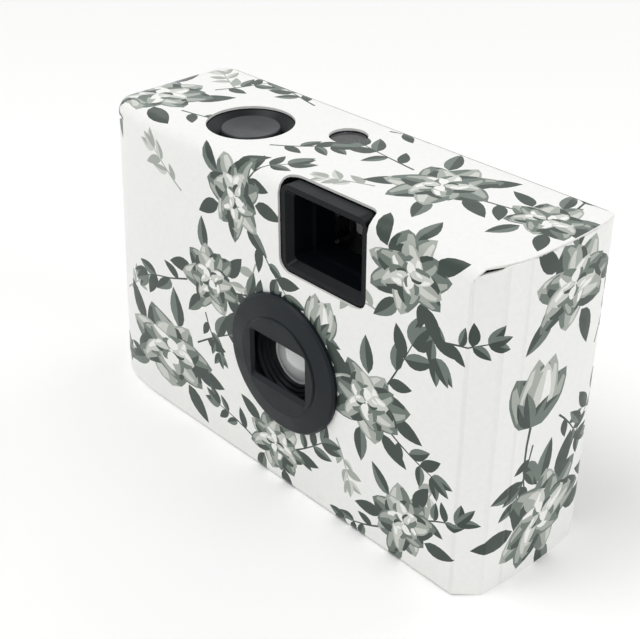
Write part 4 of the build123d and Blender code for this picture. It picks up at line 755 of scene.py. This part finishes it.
def reckoned(tree, operation, first, second):
    # A math node on an output and either a number or another output
    node = tree.nodes.new("ShaderNodeMath")
    node.operation = operation
    tree.links.new(first, node.inputs[0])
    if isinstance(second, float):
        node.inputs[1].default_value = second
    else:
        tree.links.new(second, node.inputs[1])
    return node.outputs["Value"]


def tinted(tree, shader, value, spread):
    # The base colour goes through the returned vector input, made lighter and darker by the value
    node = tree.nodes.new("ShaderNodeVectorMath")
    node.operation = "SCALE"
    tree.links.new(mapped(tree, value, *noiseSpread, 1 - spread, 1 + spread), node.inputs["Scale"])
    tree.links.new(node.outputs["Vector"], shader.inputs["Base Color"])
    return node.inputs[0]


def uneven(tree, shader, value, roughness, spread):
    # Roughness that the value moves between a glossier and a duller level
    ends = (roughness - spread["glossier"], roughness + spread["duller"])
    tree.links.new(mapped(tree, value, *noiseSpread, *ends), shader.inputs["Roughness"])


def bumped(tree, shader, height, strength, distance, normal=None):
    node = tree.nodes.new("ShaderNodeBump")
    node.inputs["Strength"].default_value = strength
    node.inputs["Distance"].default_value = distance
    tree.links.new(height, node.inputs["Height"])
    if normal is not None:
        tree.links.new(normal, node.inputs["Normal"])
    tree.links.new(node.outputs["Normal"], shader.inputs["Normal"])
    return node.outputs["Normal"]


# Lengths in materials are in metres, and scales in features a metre
moulded = {"mottleScale": 90, "glossScale": 260, "duller": 0.07, "glossier": 0.05, "grainDepth": 0.00004,
           "flowScale": 120, "flowBump": (0.08, 0.0004)}
brushed = {"scale": 300, "duller": 0.1, "glossier": 0.08, "bump": (0.15, 0.00005)}
cast = {"glossScale": 200, "duller": 0.02, "glossier": 0, "swirlScale": 60, "swirlBump": (0.02, 0.0003)}


def plastic(name, look):
    # Moulded plastic: fine spark-eroded grain, faint flow marks and uneven gloss
    material, tree, shader = newMaterial(name, look["color"], look["roughness"])
    tinted(tree, shader, noise(tree, moulded["mottleScale"], 2), look["mottle"]).default_value = look["color"]
    uneven(tree, shader, noise(tree, moulded["glossScale"]), look["roughness"], moulded)
    shader.inputs["Specular IOR Level"].default_value = look["shine"]
    grain = bumped(tree, shader, noise(tree, look["grain"], 2), look["depth"], moulded["grainDepth"])
    bumped(tree, shader, noise(tree, moulded["flowScale"], 1), *moulded["flowBump"], grain)
    return material


def metal(name, look):
    # Drawn or rolled steel: streaks along its length
    material, tree, shader = newMaterial(name, look["color"], look["roughness"])
    shader.inputs["Metallic"].default_value = 1
    streaks = noise(tree, brushed["scale"], 2, 0.5, look["stretch"])
    uneven(tree, shader, streaks, look["roughness"], brushed)
    bumped(tree, shader, streaks, *brushed["bump"])
    return material


def clear(name, look):
    # Clear moulded acrylic with a very faint swirl
    material, tree, shader = newMaterial(name, look["tintAndPaintedSheen"], look["roughness"])
    for socket, key in (("Transmission Weight", "clearness"), ("IOR", "index"), ("Coat Weight", "coat"),
                        ("Coat IOR", "coatIndex")):
        shader.inputs[socket].default_value = look[key]
    uneven(tree, shader, noise(tree, cast["glossScale"], 2), look["roughness"], cast)
    bumped(tree, shader, noise(tree, cast["swirlScale"], 1), *cast["swirlBump"])
    return material


def printedCard():
    # Coated white card with flat inks; each face carries its ink's number, and the cut edge shows bare fibre
    look = {
        "inks": ((0.83, 0.832, 0.812), (0.585, 0.60, 0.555), (0.35, 0.375, 0.34), (0.125, 0.157, 0.135),
                 (0.030, 0.046, 0.037), (0.78, 0.775, 0.75)),
        "washScale": 1100, "wash": 0.02, "gloss": 0.36, "glossScale": 420, "duller": 0.1, "glossier": 0.05,
        "specular": 0.35, "coat": 0.1, "coatRoughness": 0.12,
        "scores": (-0.47, -0.442, -0.412, 0.48, 0.531, 0.575), "scoreWidth": 0.004,
        "scoreBump": (0.5, 0.00025), "waveScale": 28, "waveBump": (0.25, 0.0008),
        "fibreScale": 2600, "fibreBump": (0.02, 0.00003),
    }
    material, tree, shader = newMaterial("printed_card", look["inks"][0], look["gloss"])
    reader = tree.nodes.new("ShaderNodeAttribute")
    reader.attribute_name = "ink"
    ramp = tree.nodes.new("ShaderNodeValToRGB")
    ramp.color_ramp.interpolation = "CONSTANT"
    stops = ramp.color_ramp.elements
    last = len(look["inks"]) - 1
    while len(stops) <= last:
        stops.new(0.5)
    for number, color in enumerate(look["inks"]):
        stops[number].position = max(0.0, (number - 0.5) / last)
        stops[number].color = (*color, 1)
    tree.links.new(mapped(tree, reader.outputs["Fac"], 0, last, 0, 1), ramp.inputs["Fac"])
    # Ink lies a little unevenly, as washed brush marks do
    washed = tinted(tree, shader, noise(tree, look["washScale"], 4, 0.6), look["wash"])
    tree.links.new(ramp.outputs["Color"], washed)
    uneven(tree, shader, noise(tree, look["glossScale"]), look["gloss"], look)
    shader.inputs["Specular IOR Level"].default_value = look["specular"]
    shader.inputs["Coat Weight"].default_value = look["coat"]
    shader.inputs["Coat Roughness"].default_value = look["coatRoughness"]
    # Score lines: shallow grooves at their places across the layout
    layoutMap = tree.nodes.new("ShaderNodeUVMap")
    layoutMap.uv_map = "layout"
    split = tree.nodes.new("ShaderNodeSeparateXYZ")
    tree.links.new(layoutMap.outputs["UV"], split.inputs["Vector"])
    total = None
    for place in look["scores"]:
        away = reckoned(tree, "SUBTRACT", split.outputs["X"], place)
        groove = mapped(tree, reckoned(tree, "ABSOLUTE", away, 0.0), 0, look["scoreWidth"], -1, 0)
        total = groove if total is None else reckoned(tree, "ADD", total, groove)
    scored = bumped(tree, shader, total, *look["scoreBump"])
    waved = bumped(tree, shader, noise(tree, look["waveScale"], 1), *look["waveBump"], scored)
    bumped(tree, shader, noise(tree, look["fibreScale"], 2), *look["fibreBump"], waved)
    return material


plastics = {
    "black_plastic": {"color": (0.004, 0.0052, 0.0066), "roughness": 0.42, "shine": 0.2,
                      "grain": 3200, "depth": 0.35, "mottle": 0.12},
    "inner_plastic": {"color": (0.007, 0.0072, 0.0078), "roughness": 0.5, "shine": 0.22,
                      "grain": 2600, "depth": 0.4, "mottle": 0.15},
    "blue_black_plastic": {"color": (0.0072, 0.0102, 0.0132), "roughness": 0.4, "shine": 0.2,
                           "grain": 3600, "depth": 0.4, "mottle": 0.1},
    "gloss_black_plastic": {"color": (0.0022, 0.0033, 0.0048), "roughness": 0.3, "shine": 0.14,
                            "grain": 1500, "depth": 0.06, "mottle": 0.1},
    "grey_plastic": {"color": (0.024, 0.028, 0.031), "roughness": 0.36, "shine": 0.24,
                     "grain": 3400, "depth": 0.3, "mottle": 0.12},
    "pale_plastic": {"color": (0.012, 0.012, 0.013), "roughness": 0.32, "shine": 0.3,
                     "grain": 3000, "depth": 0.2, "mottle": 0.1},
    "film": {"color": (0.06, 0.035, 0.026), "roughness": 0.24, "shine": 0.4,
             "grain": 900, "depth": 0.05, "mottle": 0.2},
}
acrylic = {"roughness": 0.02, "clearness": 1, "index": 1.49, "coat": 0, "coatIndex": 1.5}
clears = {
    "clear_plastic": {"tintAndPaintedSheen": (0.96, 0.98, 1.0), **acrylic},
    # The lens's pale grey base colour, which shows through its low clearness, is painted reflection of the
    # pale studio; its coat adds real reflection over it
    "lens_glass_painted_sheen": {"tintAndPaintedSheen": (0.74, 0.77, 0.76), "roughness": 0.06, "clearness": 0.3, "index": 1.7,
                   "coat": 1, "coatIndex": 1.8},
    "smoked": {"tintAndPaintedSheen": (0.16, 0.17, 0.2), **acrylic},
}
metals = {
    "steel": {"color": (0.5, 0.51, 0.53), "roughness": 0.3, "stretch": (1, 1, 12)},
    "black_steel": {"color": (0.02, 0.02, 0.021), "roughness": 0.42, "stretch": (12, 1, 1)},
}
finishes = {"printed_card": printedCard()}
for maker, kinds in ((plastic, plastics), (clear, clears), (metal, metals)):
    finishes.update({name: maker(name, look) for name, look in kinds.items()})
ownFinish = {"taking_lens": "lens_glass_painted_sheen", "finder_front_lens": "smoked", "counter_window": "smoked"}
for entry in frame["record"]["subparts"]:
    piece = frame["nodes"][entry["node"]]
    for slot in piece.material_slots:
        slot.link = "OBJECT"
        slot.material = finishes[ownFinish.get(entry["node"], entry["material_slot"])]
cardMesh.materials.append(finishes["printed_card"])
print("stage: materials given")

# The button's spring is a merged copy of its solid
coil = {"pressed": 0.00105, "merge": 0.000001}   # metres: a little over the button's travel
springMesh = frame["nodes"]["button_spring"].data.copy()
springShape = bmesh.new()
springShape.from_mesh(springMesh)
bmesh.ops.remove_doubles(springShape, verts=springShape.verts, dist=coil["merge"])
springShape.to_mesh(springMesh)
springShape.free()
springPiece = newPiece("button_spring_coil", springMesh)
springMesh.materials.clear()
springMesh.materials.append(finishes["steel"])
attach(springPiece, "body")
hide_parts("button_spring")
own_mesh(springPiece)

# Studio: a pale floor that carries the shadow, a white surround, a large key light and two weak fills
studio = {
    "floorSize": 3.0, "floorSteps": 8, "floorColor": (0.955, 0.955, 0.95), "floorRoughness": 0.8,
    "floorSpecular": 0.1, "whiteFrom": 0.22, "whiteAt": 0.6, "surround": 0.6,
    "lampSize": 0.5, "lampAim": (0, 0, 0.03),
    "lamps": {"key": ((-0.15, -0.35, 0.75), 3.0), "fill": ((0.70, 0.15, 0.35), 1.2),
              "rim": ((0.10, 0.60, 0.55), 0.8)},
}


def seen(tree):
    # One for rays from the camera, a reflection or a clear piece, otherwise zero
    path = tree.nodes.new("ShaderNodeLightPath").outputs
    return reckoned(tree, "MAXIMUM", reckoned(tree, "MAXIMUM", path["Is Camera Ray"], path["Is Glossy Ray"]),
                path["Is Transmission Ray"])


half, side = studio["floorSize"] / 2, studio["floorSteps"] + 1
ticks = np.linspace(-half, half, side)
floorMesh = bpy.data.meshes.new("floor")
floorMesh.from_pydata([(x, y, 0.0) for y in ticks for x in ticks], [],
                      [(row * side + step, row * side + step + 1, (row + 1) * side + step + 1,
                        (row + 1) * side + step) for row in range(side - 1) for step in range(side - 1)])
floor = newPiece("floor", floorMesh)
floorFinish = newMaterial("studio_floor", studio["floorColor"], studio["floorRoughness"])
floorMaterial, floorTree, floorShader = floorFinish
floorShader.inputs["Specular IOR Level"].default_value = studio["floorSpecular"]
# The floor keeps the shadow near the object and turns to plain white further out
spot = floorTree.nodes.new("ShaderNodeTexCoord")
reach = floorTree.nodes.new("ShaderNodeVectorMath")
reach.operation = "LENGTH"
floorTree.links.new(spot.outputs["Object"], reach.inputs[0])
faded = mapped(floorTree, reach.outputs["Value"], studio["whiteFrom"], studio["whiteAt"], 0, 1)
white = floorTree.nodes.new("ShaderNodeEmission")
blend = floorTree.nodes.new("ShaderNodeMixShader")
floorTree.links.new(reckoned(floorTree, "MULTIPLY", faded, seen(floorTree)), blend.inputs["Fac"])
floorTree.links.new(floorShader.outputs["BSDF"], blend.inputs[1])
floorTree.links.new(white.outputs["Emission"], blend.inputs[2])
floorTree.links.new(blend.outputs["Shader"], floorTree.nodes["Material Output"].inputs["Surface"])
floorMesh.materials.append(floorMaterial)
for name, (place, power) in studio["lamps"].items():
    light = bpy.data.lights.new(name, "AREA")
    light.shape = "DISK"
    light.size = studio["lampSize"]
    light.energy = power
    lamp = newPiece(name, light)
    lamp.location = place
    lamp.rotation_euler = (Vector(studio["lampAim"]) - Vector(place)).to_track_quat("-Z", "Y").to_euler()
world = bpy.data.worlds.new("surround")
world.use_nodes = True
skyTree = world.node_tree
backdrop = skyTree.nodes["Background"]
backdrop.inputs["Color"].default_value = (1, 1, 1, 1)
skyTree.links.new(mapped(skyTree, seen(skyTree), 0, 1, studio["surround"], 1), backdrop.inputs["Strength"])
bpy.context.scene.world = world

# Camera: the eye found for the photo's nearer view, turned a little so that the object is central
view = {
    "eye": (0.13836, -0.12872, 0.14064), "forward": (-0.7529, 0.5307, -0.3893),
    "right": (0.596, 0.8006, -0.0613), "aim": (0.002, 0.0, 0.0275),
    "focus": 742.08, "photoWidth": 640, "zoom": 1.6, "sensor": 36, "nearest": 0.005,
}
forward = Vector(view["forward"]).normalized()
sideways = Vector(view["right"])
sideways = (sideways - forward * sideways.dot(forward)).normalized()
upwards = sideways.cross(forward)
aim = (Vector(view["aim"]) - Vector(view["eye"])).normalized()
turnMatrix = forward.rotation_difference(aim).to_matrix() @ Matrix((sideways, upwards, -forward)).transposed()
lens = bpy.data.cameras.new("photo_camera")
lens.sensor_width = view["sensor"]
lens.lens = lens.sensor_width * view["focus"] / view["photoWidth"] * view["zoom"]
lens.clip_start = view["nearest"]
camera = newPiece("photo_camera", lens)
camera.matrix_world = Matrix.Translation(view["eye"]) @ turnMatrix.to_4x4()
bpy.context.scene.camera = camera
bpy.context.scene.view_settings.view_transform = "Standard"
print("stage: studio and camera set")
